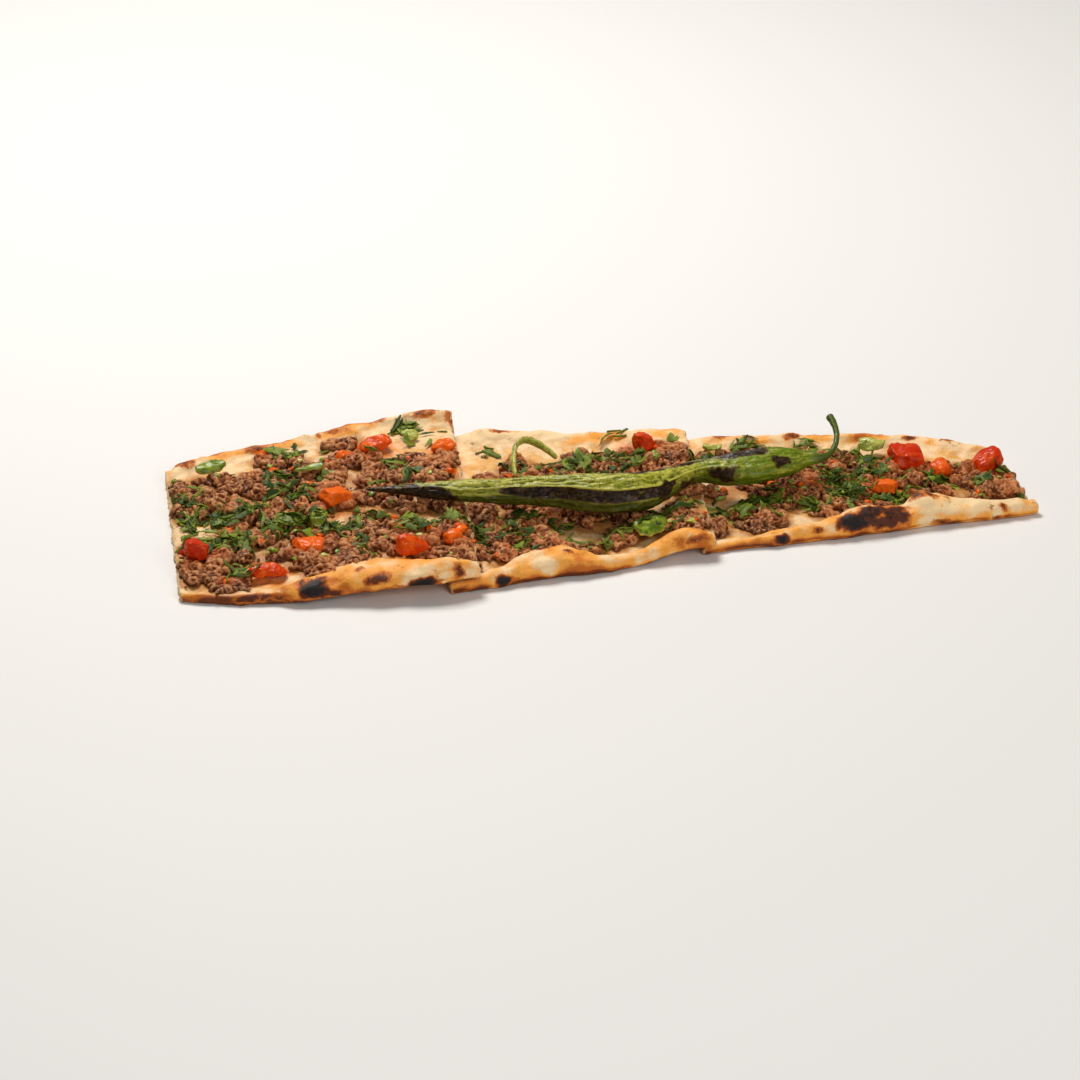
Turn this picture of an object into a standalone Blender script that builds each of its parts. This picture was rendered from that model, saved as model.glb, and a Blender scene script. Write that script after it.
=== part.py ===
"""A long meat-topped pide, cut across into three slices that still lie in line, with a grilled pepper on top.

Each slice is a flat bread with a rolled rim along its front and back edge and a straight cut at both
ends. The left slice leans on the middle one and the middle one on the right one. Minced meat covers the
bread between the rims, with diced tomato and strips of green pepper bedded in it.

Plan values and heights below are in millimetres and are turned into metres when a mesh is made.
"""

import math
import random
from collections import namedtuple

import bmesh
import bpy
from mathutils import Euler, Vector, noise

MM = 0.001
GAP = 0.3
PLAN_CENTRE = (-2.3, 4.15)

CRUMB_THICKNESS = 4.2
DOUGH_STATIONS = 18
FLOOR_POINTS = 3

# Share of the rim's depth and of its height at each point of the rolled edge, from underneath to the crest.
RIM_ROLL = ((0.16, 0.0), (0.0, 0.30), (0.06, 0.64), (0.32, 0.88), (0.66, 0.98), (1.0, 1.0))
# Share of the inner slope's width and of its drop, from the crest down to the floor.
INNER_SLOPE = ((0.30, 0.34), (0.65, 0.80), (1.0, 1.0))
BACK_RIM_DEPTH = 4.5
CRUST_TIP_START = 0.85

MEAT_STATIONS = 14
MEAT_TOP_POINTS = 11
MEAT_THICKNESS = 5.6
MEAT_LUMP = 2.3
MEAT_LUMP_SPACING = 11.0
MEAT_EDGE_THICKNESS = 1.3
MEAT_CLEARANCE = 0.8
MEAT_RIGHT_MARGIN = 0.6
MEAT_STEP = 2.2
TOPPING_BED = 2.0

PEPPER_SIDES = 12
PEPPER_STATIONS = 34
PEPPER_RIB_DEPTH = 0.09
PEPPER_FLATNESS = 0.94

# Every list below runs along the slice from left to right and starts with x.
# cut lines: x where the line crosses the middle, and how far it leans to the right for each mm back
# lift: where it starts and ends, and how high the front and the back end up
# front_rim: (x, height, depth to the crest); back_rim: (x, height)
# bare_front and bare_back: (x, width of bread left bare inside the rim)
# meat_start: distance from the left cut to the meat's end; covered: width that the neighbour lies over
# crust_tip: how far the front rim's end stands out past the right cut
Slice = namedtuple(
    "Slice",
    "left_cut right_cut front back front_rim back_rim front_slope back_slope lift "
    "bare_front bare_back meat_start covered crust_tip seed",
)

LEFT = Slice(
    left_cut=(-222.3, 0.092),
    right_cut=(-68.6, 0.14),
    front=((-228, -57.5), (-208, -65), (-181, -73), (-163, -77.3), (-146, -79.3), (-121, -84.4),
           (-96, -85.1), (-78, -83)),
    back=((-216, 75), (-209, 80.8), (-188, 89), (-167, 91), (-140, 92.2), (-112, 93.6), (-85, 92),
          (-69, 89.5), (-56, 83)),
    front_rim=((-228, 4.6, 2.5), (-204, 4.8, 3), (-189, 5.6, 4.5), (-177, 7, 7), (-165, 9, 11),
               (-145, 10.5, 15), (-130, 11, 17), (-116, 10.3, 15), (-104, 11, 9.5), (-93, 10.5, 5.5),
               (-79, 7.4, 3.5)),
    back_rim=((-216, 6.6), (-188, 7.6), (-150, 8.6), (-112, 8.2), (-88, 9.2), (-66, 11.6), (-56, 12.4)),
    front_slope=7.0,
    back_slope=9.0,
    lift=(-186, -84, 7.7, 9.2),
    bare_front=((-228, 1), (-190, 2), (-183, 8), (-174, 2), (-79, 1)),
    bare_back=((-216, 1), (-186, 2), (-177, 13), (-168, 3), (-110, 1), (-97, 8), (-85, 24), (-56, 28)),
    meat_start=0.6,
    covered=0.0,
    crust_tip=0.0,
    seed=3.0,
)

MIDDLE = Slice(
    left_cut=(-84.6, 0.14),
    right_cut=(56.8, 0.165),
    front=((-97, -83.8), (-70, -82.7), (-44, -81.8), (-18, -80.9), (8, -78.5), (20, -76.4), (32, -76.8),
           (44, -79.4)),
    back=((-75, 80), (-46, 79), (-32, 78), (-7, 69.5), (19, 61.5), (45, 54.5), (66, 49)),
    front_rim=((-97, 6.1, 5), (-81, 6.6, 6), (-74, 8.2, 6), (-66, 9.2, 8.5), (-57, 11, 14),
               (-43, 12.5, 16.5), (-33, 12.3, 14.5), (-22, 9.3, 8), (-10, 7.2, 5), (3, 7.2, 5),
               (16, 9, 7), (31, 10.5, 8), (44, 6.0, 4)),
    back_rim=((-75, 7.6), (-58, 7.8), (-46, 10), (-20, 9.4), (19, 9.2), (48, 7.2), (66, 5.6)),
    front_slope=6.0,
    back_slope=14.0,
    lift=(9, 50, 5.3, 5.3),
    bare_front=((-97, 1), (-30, 1), (-20, 4), (-8, 2), (44, 1)),
    bare_back=((-75, 36), (-55, 38), (-42, 30), (-30, 17), (-8, 13), (18, 9), (30, 2), (66, 1)),
    meat_start=3.0,
    covered=16.0,
    crust_tip=0.0,
    seed=11.0,
)

RIGHT = Slice(
    left_cut=(50.0, 0.165),
    right_cut=(223.5, 0.09),
    front=((36, -74.4), (57, -73.8), (68, -74.2), (89, -75.4), (150, -75.6), (200, -75.4), (212, -75.2),
           (219, -73.6)),
    back=((56, 50), (79, 44.5), (102, 37.5), (124, 34.2), (155, 26.5), (186, 16.5), (200, 8), (223, -6)),
    front_rim=((36, 4.6, 2.5), (57, 4.7, 2.5), (67, 5.6, 3.5), (75, 6.8, 6), (88, 8, 6.5),
               (108, 10.3, 8.5), (126, 12.5, 11), (144, 10.2, 10.5), (161, 14, 19.5), (172, 10.6, 16.5),
               (185, 10, 10.5), (198, 9.5, 8), (209, 8.6, 6.5), (219, 5.2, 4)),
    back_rim=((56, 4.7), (64, 4.8), (76, 8), (102, 9), (186, 8.6), (223, 6.6)),
    front_slope=5.0,
    back_slope=10.0,
    lift=(240, 260, 0.0, 0.0),
    bare_front=((36, 1), (219, 1)),
    bare_back=((56, 1), (140, 1), (160, 2), (176, 9), (188, 14), (203, 8), (215, 1), (223, 1)),
    meat_start=8.2,
    covered=0.0,
    crust_tip=4.0,
    seed=23.0,
)

SLICES = {"left": LEFT, "middle": MIDDLE, "right": RIGHT}

# (name, slice, x, y, length, width, height, turn in degrees, share of the bed under it)
TOMATO_DICE = (
    ("tomato_left_end", "left", -214.5, -24, 12, 16, 9.5, 8, 1),
    ("tomato_front_flat", "left", -182.0, -51.0, 17, 9.5, 5.6, -12, 1),
    ("tomato_centre", "left", -135.8, 11.0, 15, 12, 7.0, 20, 1),
    ("tomato_sunken", "left", -157.0, -31.5, 17, 9.5, 5.6, -6, 1),
    ("tomato_crust_side", "left", -110.0, -59.6, 17, 9.0, 8.5, 14, 1),
    ("tomato_back_long", "left", -104.0, 60.5, 22, 10.5, 6.5, 16, 1),
    ("tomato_back_small", "left", -68.8, 49.0, 11.5, 9.5, 6.5, -20, 0.35),
    ("tomato_chip", "left", -87.0, -52.5, 8.5, 8.0, 5.5, 30, 1),
    ("tomato_middle_back", "middle", 37.0, 33.0, 11, 10.5, 8.5, 35, 1),
    ("tomato_large", "right", 169.0, -11.5, 19, 17, 9.0, -14, 1),
    ("tomato_beside_large", "right", 182.6, -27.5, 10.5, 12.5, 6.8, 24, 1),
    ("tomato_right_end", "right", 209.0, -26.5, 17, 13.5, 8.5, 10, 1),
    ("tomato_soft", "right", 148.0, -38.5, 12.5, 10.5, 6.2, -30, 1),
)

# (name, slice, x, y, length, width, turn, roll in degrees, arch in degrees, share of the bed under it)
GREEN_STRIPS = (
    ("green_strip_back_left", "left", -192.5, 64.5, 17, 9, 12, 18, 95, 1.9),
    ("green_strip_back", "left", -143.0, 45.0, 16, 7, 8, -14, 80, 2.3),
    ("green_strip_front", "left", -148.5, -14.0, 8, 12, -18, 20, 85, 2.0),
    ("green_ring", "left", -84.0, 67.0, 8, 10, 24, 10, 120, 0.0),
    ("green_flat_front", "middle", 14.0, -59.0, 19, 13, 26, 16, 70, 1.6),
    ("green_strip_joint", "right", 72.0, 23.0, 10, 7, -20, -10, 90, 2.0),
    ("green_chunk", "right", 155.5, 5.6, 14, 11, -24, 14, 120, 1.6),
)
STRIP_WALL = 2.4
STRIP_SEGMENTS = (5, 3)

# The curl is a ribbon of pepper that stands in a hook: (x, y, height over the bread).
CURL_PATH = ((-38, 17, 5.6), (-36.5, 28, 9.5), (-32, 39, 13), (-25, 42, 13.4), (-18, 38, 10.5),
             (-12, 31, 6.6))
CURL_WIDTH = 4.6
CURL_THICKNESS = 2.4
CURL_STATIONS = 14
CURL_SIDES = 8

# The grilled pepper from its tip to the cut end of its stalk: (x, y, height, radius)
PEPPER_LINE = (
    (-121.0, 0.9, 20.4, 0.9), (-104.6, -5.8, 21.6, 2.7), (-92.0, -11.0, 22.0, 4.3),
    (-75.3, -15.6, 22.0, 5.8), (-55.1, -19.7, 21.0, 6.9), (-29.6, -25.4, 21.2, 8.6),
    (-9.3, -34.9, 22.2, 10.2), (7.7, -39.0, 22.8, 10.7), (22.0, -35.2, 22.0, 9.6),
    (34.9, -27.0, 20.6, 7.5), (48.7, -20.0, 20.0, 6.2), (57.5, -21.3, 20.5, 7.2),
    (66.5, -25.4, 21.4, 8.9), (79.8, -26.4, 21.9, 9.5), (94.3, -23.9, 21.4, 8.6),
    (104.0, -22.6, 21.0, 6.6), (109.0, -23.0, 21.0, 3.9), (113.5, -23.4, 21.4, 3.4),
    (119.5, -24.2, 22.2, 2.1), (125.5, -19.6, 24.2, 1.7), (129.8, -11.0, 27.2, 1.7),
    (130.4, -4.0, 30.2, 1.9), (129.6, 2.0, 32.2, 2.4),
)

COLOURS = {
    "dough": ((0.78, 0.55, 0.32, 1.0), 0.72),
    "meat": ((0.22, 0.10, 0.07, 1.0), 0.6),
    "tomato": ((0.72, 0.08, 0.02, 1.0), 0.3),
    "green": ((0.22, 0.36, 0.04, 1.0), 0.35),
    "pepper": ((0.20, 0.30, 0.03, 1.0), 0.3),
}


def clear_scene():
    for obj in list(bpy.data.objects):
        bpy.data.objects.remove(obj, do_unlink=True)


def collection_named(name, hidden=False):
    made = bpy.data.collections.new(name)
    bpy.context.scene.collection.children.link(made)
    made.hide_render = hidden
    return made


def finish_named(name):
    colour, roughness = COLOURS[name]
    made = bpy.data.materials.new(name)
    made.use_nodes = True
    shader = made.node_tree.nodes["Principled BSDF"]
    shader.inputs["Base Color"].default_value = colour
    shader.inputs["Roughness"].default_value = roughness
    shader.inputs["Metallic"].default_value = 0.0
    return made


def smooth_step(start, end, x):
    t = min(1.0, max(0.0, (x - start) / (end - start)))
    return t * t * (3 - 2 * t)


def mix(a, b, t):
    return a + (b - a) * t


def smooth_curve(points, x):
    """The values beside x in a list of (x, value, ...) points, on a smooth curve through all of them."""
    x = min(max(x, points[0][0]), points[-1][0])
    last = len(points) - 2
    i = next((k for k in range(last + 1) if x <= points[k + 1][0]), last)
    before, start = points[max(i - 1, 0)], points[i]
    end, after = points[i + 1], points[min(i + 2, last + 1)]
    span = end[0] - start[0]
    t = (x - start[0]) / span
    values = []
    for k in range(1, len(start)):
        leaving = (end[k] - before[k]) / (end[0] - before[0]) * span
        arriving = (after[k] - start[k]) / (after[0] - start[0]) * span
        values.append(
            start[k] * (1 + 2 * t) * (1 - t) ** 2
            + leaving * t * (1 - t) ** 2
            + end[k] * t * t * (3 - 2 * t)
            - arriving * t * t * (1 - t)
        )
    return values if len(values) > 1 else values[0]


def sampled(points, count):
    """Evenly spread stations on a smooth curve through the points of a line."""
    steps = [(k, *point) for k, point in enumerate(points)]
    return [smooth_curve(steps, k * (len(points) - 1) / count) for k in range(count + 1)]


def heading(stations, k):
    """Direction of a line of stations at one of them."""
    ahead = Vector(stations[min(k + 1, len(stations) - 1)][:3])
    behind = Vector(stations[max(k - 1, 0)][:3])
    return (ahead - behind).normalized()


def edge_point(edge, crossing, lean):
    """Where the slanted line that crosses the middle at x meets a long edge of the slice."""
    y = 0.0
    for _ in range(6):
        y = smooth_curve(edge, crossing + lean * y)
    return y


def lift_at(part, crossing, share):
    start, end, front, back = part.lift
    return smooth_step(start, end, crossing) * mix(front, back, share)


def station_at(part, u):
    """Everything that a section of the slice needs: its slanted line, its two edges and its rims."""
    crossing = mix(part.left_cut[0], part.right_cut[0], u)
    lean = mix(part.left_cut[1], part.right_cut[1], u)
    front = edge_point(part.front, crossing, lean)
    back = edge_point(part.back, crossing, lean)
    front_height, front_depth = smooth_curve(part.front_rim, crossing + lean * front)
    back_height = smooth_curve(part.back_rim, crossing + lean * back)
    return crossing, lean, front, back, front_height, front_depth, back_height


def rim_profile(height, depth, slope):
    """(distance in from the edge, height) over one rim, from underneath to the floor of the slice."""
    rise = height - CRUMB_THICKNESS
    roll = [(share * depth, level * height) for share, level in RIM_ROLL]
    inner = [(depth + share * slope, height - drop * rise) for share, drop in INNER_SLOPE]
    return roll + inner


def dough_section(part, u):
    crossing, lean, front, back, front_height, front_depth, back_height = station_at(part, u)
    width = back - front
    front_rim = rim_profile(front_height, front_depth, part.front_slope)
    back_rim = rim_profile(back_height, BACK_RIM_DEPTH, part.back_slope)
    ring = list(front_rim)
    first, last = front_rim[-1][0], width - back_rim[-1][0]
    for k in range(1, FLOOR_POINTS + 1):
        ring.append((mix(first, last, k / (FLOOR_POINTS + 1)), CRUMB_THICKNESS))
    ring += [(width - inward, level) for inward, level in reversed(back_rim)]
    start, end = ring[-1][0], ring[0][0]
    for k in range(1, FLOOR_POINTS + 1):
        ring.append((mix(start, end, k / (FLOOR_POINTS + 1)), 0.0))
    points = []
    past_end = part.crust_tip * smooth_step(CRUST_TIP_START, 1.0, u)
    for across, level in ring:
        y = front + across
        tip = past_end * (1 - smooth_step(front_depth, front_depth + part.front_slope, across))
        points.append((crossing + lean * y + tip, y, level + lift_at(part, crossing, across / width)))
    return points


def slice_coordinates(part, x, y):
    """Share along and across the slice of a point in the plan."""
    low, high = 0.0, 1.0
    for _ in range(24):
        u = (low + high) / 2
        crossing = mix(part.left_cut[0], part.right_cut[0], u)
        lean = mix(part.left_cut[1], part.right_cut[1], u)
        if crossing + lean * y < x:
            low = u
        else:
            high = u
    front, back = station_at(part, u)[2:4]
    return crossing, (y - front) / (back - front)


def floor_height(part, x, y):
    """Height of the bread between the rims."""
    crossing, share = slice_coordinates(part, x, y)
    return CRUMB_THICKNESS + lift_at(part, crossing, share)


def meat_section(part, u):
    """The topping's ring at one station: a flat underside just over the bread, and a lumpy top."""
    crossing, lean, front, back, _, front_depth, _ = station_at(part, u)
    start = front + front_depth + part.front_slope + MEAT_CLEARANCE
    end = back - BACK_RIM_DEPTH - part.back_slope - MEAT_CLEARANCE
    start += smooth_curve(part.bare_front, crossing + lean * start)
    end -= smooth_curve(part.bare_back, crossing + lean * end)
    under_neighbour = crossing - part.left_cut[0] < part.covered + GAP
    top, underside = [], []
    for k in range(MEAT_TOP_POINTS):
        share = k / (MEAT_TOP_POINTS - 1)
        y = mix(start, end, share)
        x = crossing + lean * y
        under = floor_height(part, x, y) + GAP
        lump = noise.noise(Vector((x / MEAT_LUMP_SPACING, y / MEAT_LUMP_SPACING, part.seed)))
        thickness = MEAT_THICKNESS + 2 * MEAT_LUMP * lump
        if under_neighbour:
            thickness = min(thickness, TOPPING_BED)
        if k in (0, MEAT_TOP_POINTS - 1):
            thickness = MEAT_EDGE_THICKNESS
        top.append((x, y, under + thickness))
        if k % 2 == 0:
            underside.append((x, y, under))
    return top + underside[::-1]


def loft(name, sections):
    """A closed body through rings of equal length, with a flat face over each end."""
    bm = bmesh.new()
    rings = [[bm.verts.new(Vector(point) * MM) for point in section] for section in sections]
    count = len(rings[0])
    for near, far in zip(rings, rings[1:]):
        for k in range(count):
            bm.faces.new((near[k], near[(k + 1) % count], far[(k + 1) % count], far[k]))
    bm.faces.new(rings[0][::-1])
    bm.faces.new(rings[-1])
    bmesh.ops.recalc_face_normals(bm, faces=bm.faces)
    mesh = bpy.data.meshes.new(name)
    bm.to_mesh(mesh)
    bm.free()
    mesh.shade_smooth()
    mesh.set_sharp_from_angle(angle=math.radians(50))
    return mesh


def add_object(name, mesh, collection, parent, material):
    made = bpy.data.objects.new(name, mesh)
    mesh.materials.append(material)
    collection.objects.link(made)
    made.parent = parent
    return made


def dough_mesh(name, part):
    return loft(name, [dough_section(part, k / DOUGH_STATIONS) for k in range(DOUGH_STATIONS + 1)])


def meat_mesh(name, part):
    """The topping stops just short of both cuts, and is thin where the neighbouring slice lies over it."""
    length = part.right_cut[0] - part.left_cut[0]
    places = [part.meat_start]
    if part.covered:
        places.append(part.covered + GAP / 2)
    first = part.covered + MEAT_STEP if part.covered else part.meat_start
    last = length - MEAT_RIGHT_MARGIN
    steps = MEAT_STATIONS - len(places)
    places += [mix(first, last, (k + 1) / steps) for k in range(steps)]
    if part.covered:
        places.insert(2, first)
    return loft(name, [meat_section(part, place / length) for place in places])


def pepper_mesh(name):
    """A tube of changing radius round the pepper's line, with lengthwise ribs and a slightly flat section."""
    stations = sampled(PEPPER_LINE, PEPPER_STATIONS)
    sections = []
    for k, (x, y, z, radius) in enumerate(stations):
        along = heading(stations, k)
        side = along.cross(Vector((0, 0, 1))).normalized()
        up = side.cross(along)
        ring = []
        for j in range(PEPPER_SIDES):
            angle = math.tau * j / PEPPER_SIDES
            rib = 1 + PEPPER_RIB_DEPTH * math.sin(3 * angle + 0.35 * k) * min(1.0, radius / 6)
            reach = side * math.cos(angle) + up * math.sin(angle) * PEPPER_FLATNESS
            ring.append(Vector((x, y, z)) + reach * radius * rib)
        sections.append(ring)
    return loft(name, sections)


def dice_mesh(name, length, width, height, seed):
    """A rounded wedge of tomato: a cube with a narrower, uneven top, softened by subdivision."""
    bm = bmesh.new()
    bmesh.ops.create_cube(bm, size=1.0)
    uneven = random.Random(seed)
    for vert in bm.verts:
        top = vert.co.z > 0
        vert.co.x *= length * (0.86 if top else 1.12)
        vert.co.y *= width * (0.78 if top else 1.12)
        vert.co.z *= height * 1.12
        vert.co.x += uneven.uniform(-0.09, 0.09) * length
        vert.co.y += uneven.uniform(-0.09, 0.09) * width
        vert.co.z += uneven.uniform(-0.1, 0.04) * height if top else 0.0
    creases = bm.edges.layers.float.new("crease_edge")
    for edge in bm.edges:
        edge[creases] = 0.45
    bmesh.ops.scale(bm, vec=Vector((MM, MM, MM)), verts=bm.verts)
    mesh = bpy.data.meshes.new(name)
    bm.to_mesh(mesh)
    bm.free()
    mesh.shade_smooth()
    return mesh


def strip_mesh(name, length, width, arch):
    """A cut strip of pepper wall: a sheet bent round an arc across its width."""
    bm = bmesh.new()
    bmesh.ops.create_grid(bm, x_segments=STRIP_SEGMENTS[0], y_segments=STRIP_SEGMENTS[1], size=0.5)
    bend = math.radians(arch)
    radius = width / bend
    for vert in bm.verts:
        angle = vert.co.y * bend
        narrowing = 1 - 0.55 * (2 * vert.co.x) ** 4
        vert.co.x *= length
        vert.co.y = radius * math.sin(angle) * narrowing
        vert.co.z = radius * (math.cos(angle) - 1) * narrowing
    bmesh.ops.scale(bm, vec=Vector((MM, MM, MM)), verts=bm.verts)
    mesh = bpy.data.meshes.new(name)
    bm.to_mesh(mesh)
    bm.free()
    mesh.shade_smooth()
    return mesh


def curl_mesh(name, part):
    """A ribbon with a flat oval section that rises from the meat, turns over and comes down again."""
    stations = sampled(CURL_PATH, CURL_STATIONS)
    base = floor_height(part, CURL_PATH[0][0], CURL_PATH[0][1])
    sections = []
    for k, (x, y, z) in enumerate(stations):
        along = heading(stations, k)
        flat = along.cross(Vector((0.35, -0.25, 1.0)).normalized()).normalized()
        wide = flat.cross(along)
        taper = 1 - 0.45 * abs(2 * k / CURL_STATIONS - 1) ** 3
        ring = []
        for j in range(CURL_SIDES):
            angle = math.tau * j / CURL_SIDES
            reach = wide * math.cos(angle) * CURL_WIDTH / 2 + flat * math.sin(angle) * CURL_THICKNESS / 2
            ring.append(Vector((x, y, z + base)) + reach * taper)
        sections.append(ring)
    return loft(name, sections)


def add_smoothing(obj, levels):
    rounding = obj.modifiers.new("rounding", "SUBSURF")
    rounding.levels = levels
    rounding.render_levels = levels


def lowest_point(obj):
    bpy.context.view_layer.update()
    evaluated = obj.evaluated_get(bpy.context.evaluated_depsgraph_get())
    turned = obj.matrix_local.to_3x3()
    return min((turned @ vert.co).z for vert in evaluated.data.vertices)


def rest_on_bread(obj, part, x, y, bed):
    """Puts a turned piece down over the bread, on the given share of the meat's bed."""
    level = floor_height(part, x, y) + GAP + bed * TOPPING_BED
    obj.location = (x * MM, y * MM, level * MM - lowest_point(obj))


def inflated_copy(obj, name, cutters, parent):
    """The same piece grown by the gap, which hollows its bed in the meat."""
    copy = bpy.data.objects.new(name, obj.data)
    cutters.objects.link(copy)
    copy.parent = parent
    copy.location = obj.location
    copy.rotation_euler = obj.rotation_euler
    for modifier in obj.modifiers:
        twin = copy.modifiers.new(modifier.name, modifier.type)
        if modifier.type == "SUBSURF":
            twin.levels = modifier.levels
            twin.render_levels = modifier.render_levels
        if modifier.type == "SOLIDIFY":
            twin.thickness = modifier.thickness
            twin.offset = modifier.offset
    growth = copy.modifiers.new("growth", "DISPLACE")
    growth.strength = 1.2 * GAP * MM
    growth.mid_level = 0.0
    copy.hide_render = True
    copy.display_type = "WIRE"
    return copy


def add_tomatoes(collection, parent, finish):
    made = []
    for seed, (name, home, x, y, length, width, height, turn, bed) in enumerate(TOMATO_DICE):
        obj = add_object(name, dice_mesh(name, length, width, height, seed + 1), collection, parent, finish)
        lean = random.Random(100 + seed)
        tilts = [math.radians(lean.uniform(-7, 7)) for _ in range(2)]
        obj.rotation_euler = Euler((*tilts, math.radians(turn)))
        add_smoothing(obj, 2)
        rest_on_bread(obj, SLICES[home], x, y, bed)
        made.append((obj, home))
    return made


def add_green_strips(collection, parent, finish):
    made = []
    for name, home, x, y, length, width, turn, roll, arch, bed in GREEN_STRIPS:
        obj = add_object(name, strip_mesh(name, length, width, arch), collection, parent, finish)
        obj.rotation_euler = Euler((math.radians(roll), 0.0, math.radians(turn)))
        wall = obj.modifiers.new("wall", "SOLIDIFY")
        wall.thickness = STRIP_WALL * MM
        wall.offset = 0.0
        rest_on_bread(obj, SLICES[home], x, y, bed)
        made.append((obj, home))
    return made


def cut_beds(meats, toppings, cutters, parent):
    """Hollows each slice's meat round the pieces that lie in it."""
    for obj, home in toppings:
        tool = inflated_copy(obj, "bed_" + obj.name + "_" + home, cutters, parent)
        bed = meats[home].modifiers.new("bed_" + obj.name, "BOOLEAN")
        bed.object = tool
        bed.operation = "DIFFERENCE"
        bed.solver = "EXACT"


def main():
    clear_scene()
    pide = collection_named("turkish_pide")
    cutters = collection_named("cutters", hidden=True)
    centre = bpy.data.objects.new("pide_centre", None)
    pide.objects.link(centre)
    centre.location = (-PLAN_CENTRE[0] * MM, -PLAN_CENTRE[1] * MM, 0.0)
    finish = {name: finish_named(name) for name in COLOURS}
    meats = {}
    for home, part in SLICES.items():
        name = "dough_" + home
        add_object(name, dough_mesh(name, part), pide, centre, finish["dough"])
        name = "meat_" + home
        meats[home] = add_object(name, meat_mesh(name, part), pide, centre, finish["meat"])
    toppings = add_tomatoes(pide, centre, finish["tomato"])
    toppings += add_green_strips(pide, centre, finish["green"])
    curl = add_object("green_curl", curl_mesh("green_curl", MIDDLE), pide, centre, finish["green"])
    toppings.append((curl, "middle"))
    pepper = add_object("grilled_pepper", pepper_mesh("grilled_pepper"), pide, centre, finish["pepper"])
    toppings += [(pepper, home) for home in SLICES]
    cut_beds(meats, toppings, cutters, centre)


main()
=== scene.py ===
"""Looks of a long minced-meat pide in three slices: baked bread, crumbled meat, tomato, green pepper, herbs.

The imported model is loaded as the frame, and every piece here is shaped from its solids or laid on them.
Lengths in tables are in millimetres unless they say metres, in the frame's own axes: x along the pide and
y towards its back.
"""

import math

import bmesh
import bpy
import numpy as np
from bpy.props import FloatProperty, FloatVectorProperty, IntProperty, PointerProperty
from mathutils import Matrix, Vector, noise
from mathutils.bvhtree import BVHTree
from mathutils.kdtree import KDTree


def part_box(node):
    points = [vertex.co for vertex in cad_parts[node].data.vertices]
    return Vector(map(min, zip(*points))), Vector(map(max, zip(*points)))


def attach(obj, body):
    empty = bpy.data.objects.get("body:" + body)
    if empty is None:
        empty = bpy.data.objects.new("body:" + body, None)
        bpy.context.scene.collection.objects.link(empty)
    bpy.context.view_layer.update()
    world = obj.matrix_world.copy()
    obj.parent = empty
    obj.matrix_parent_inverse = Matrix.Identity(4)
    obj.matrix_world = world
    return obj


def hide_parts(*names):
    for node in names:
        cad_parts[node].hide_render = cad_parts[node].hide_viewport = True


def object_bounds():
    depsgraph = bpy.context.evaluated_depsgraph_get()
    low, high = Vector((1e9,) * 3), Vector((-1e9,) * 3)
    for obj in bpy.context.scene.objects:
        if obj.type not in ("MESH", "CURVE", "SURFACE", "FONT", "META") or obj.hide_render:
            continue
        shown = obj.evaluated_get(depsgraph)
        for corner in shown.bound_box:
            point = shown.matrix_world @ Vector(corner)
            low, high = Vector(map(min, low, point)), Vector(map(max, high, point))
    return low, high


bl_info = {
    "name": "Sliced pide with minced meat",
    "version": (1, 0, 0),
    "blender": (4, 5, 0),
    "location": "3D View > Sidebar > Pide",
    "description": "Dresses the solids of a sliced pide with baked bread, minced meat, vegetables and herbs",
    "category": "Add Mesh",
}

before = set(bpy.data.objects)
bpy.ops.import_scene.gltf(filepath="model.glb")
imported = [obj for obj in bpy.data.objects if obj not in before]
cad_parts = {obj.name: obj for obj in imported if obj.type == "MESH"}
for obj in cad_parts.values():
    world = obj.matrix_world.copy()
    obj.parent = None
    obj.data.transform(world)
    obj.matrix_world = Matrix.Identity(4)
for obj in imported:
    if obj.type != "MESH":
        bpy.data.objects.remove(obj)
frame_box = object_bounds()

MM = 0.001
# A surface is looked for from this height in metres, straight down.
ABOVE = 0.1
DOWN = Vector((0.0, 0.0, -1.0))
# Roughness of every cloudy pattern in the finishes.
NOISE_ROUGHNESS = 0.55
# How far one seed's noise lies from the next one's.
SEED_SHIFT = 7.31

# How far each slice's cross lines lean to the right for each unit towards the back.
SLICE_LEAN = {"left": 0.116, "middle": 0.152, "right": 0.128}
# What each slice's random draws start from.
SLICE_SEED = {"left": 11, "middle": 23, "right": 37}
# How far in from a cut the bread is torn, and how far in it shows crumb.
TORN_DEPTH = 7.0
CRUMB_DEPTH = 6.0

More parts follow.
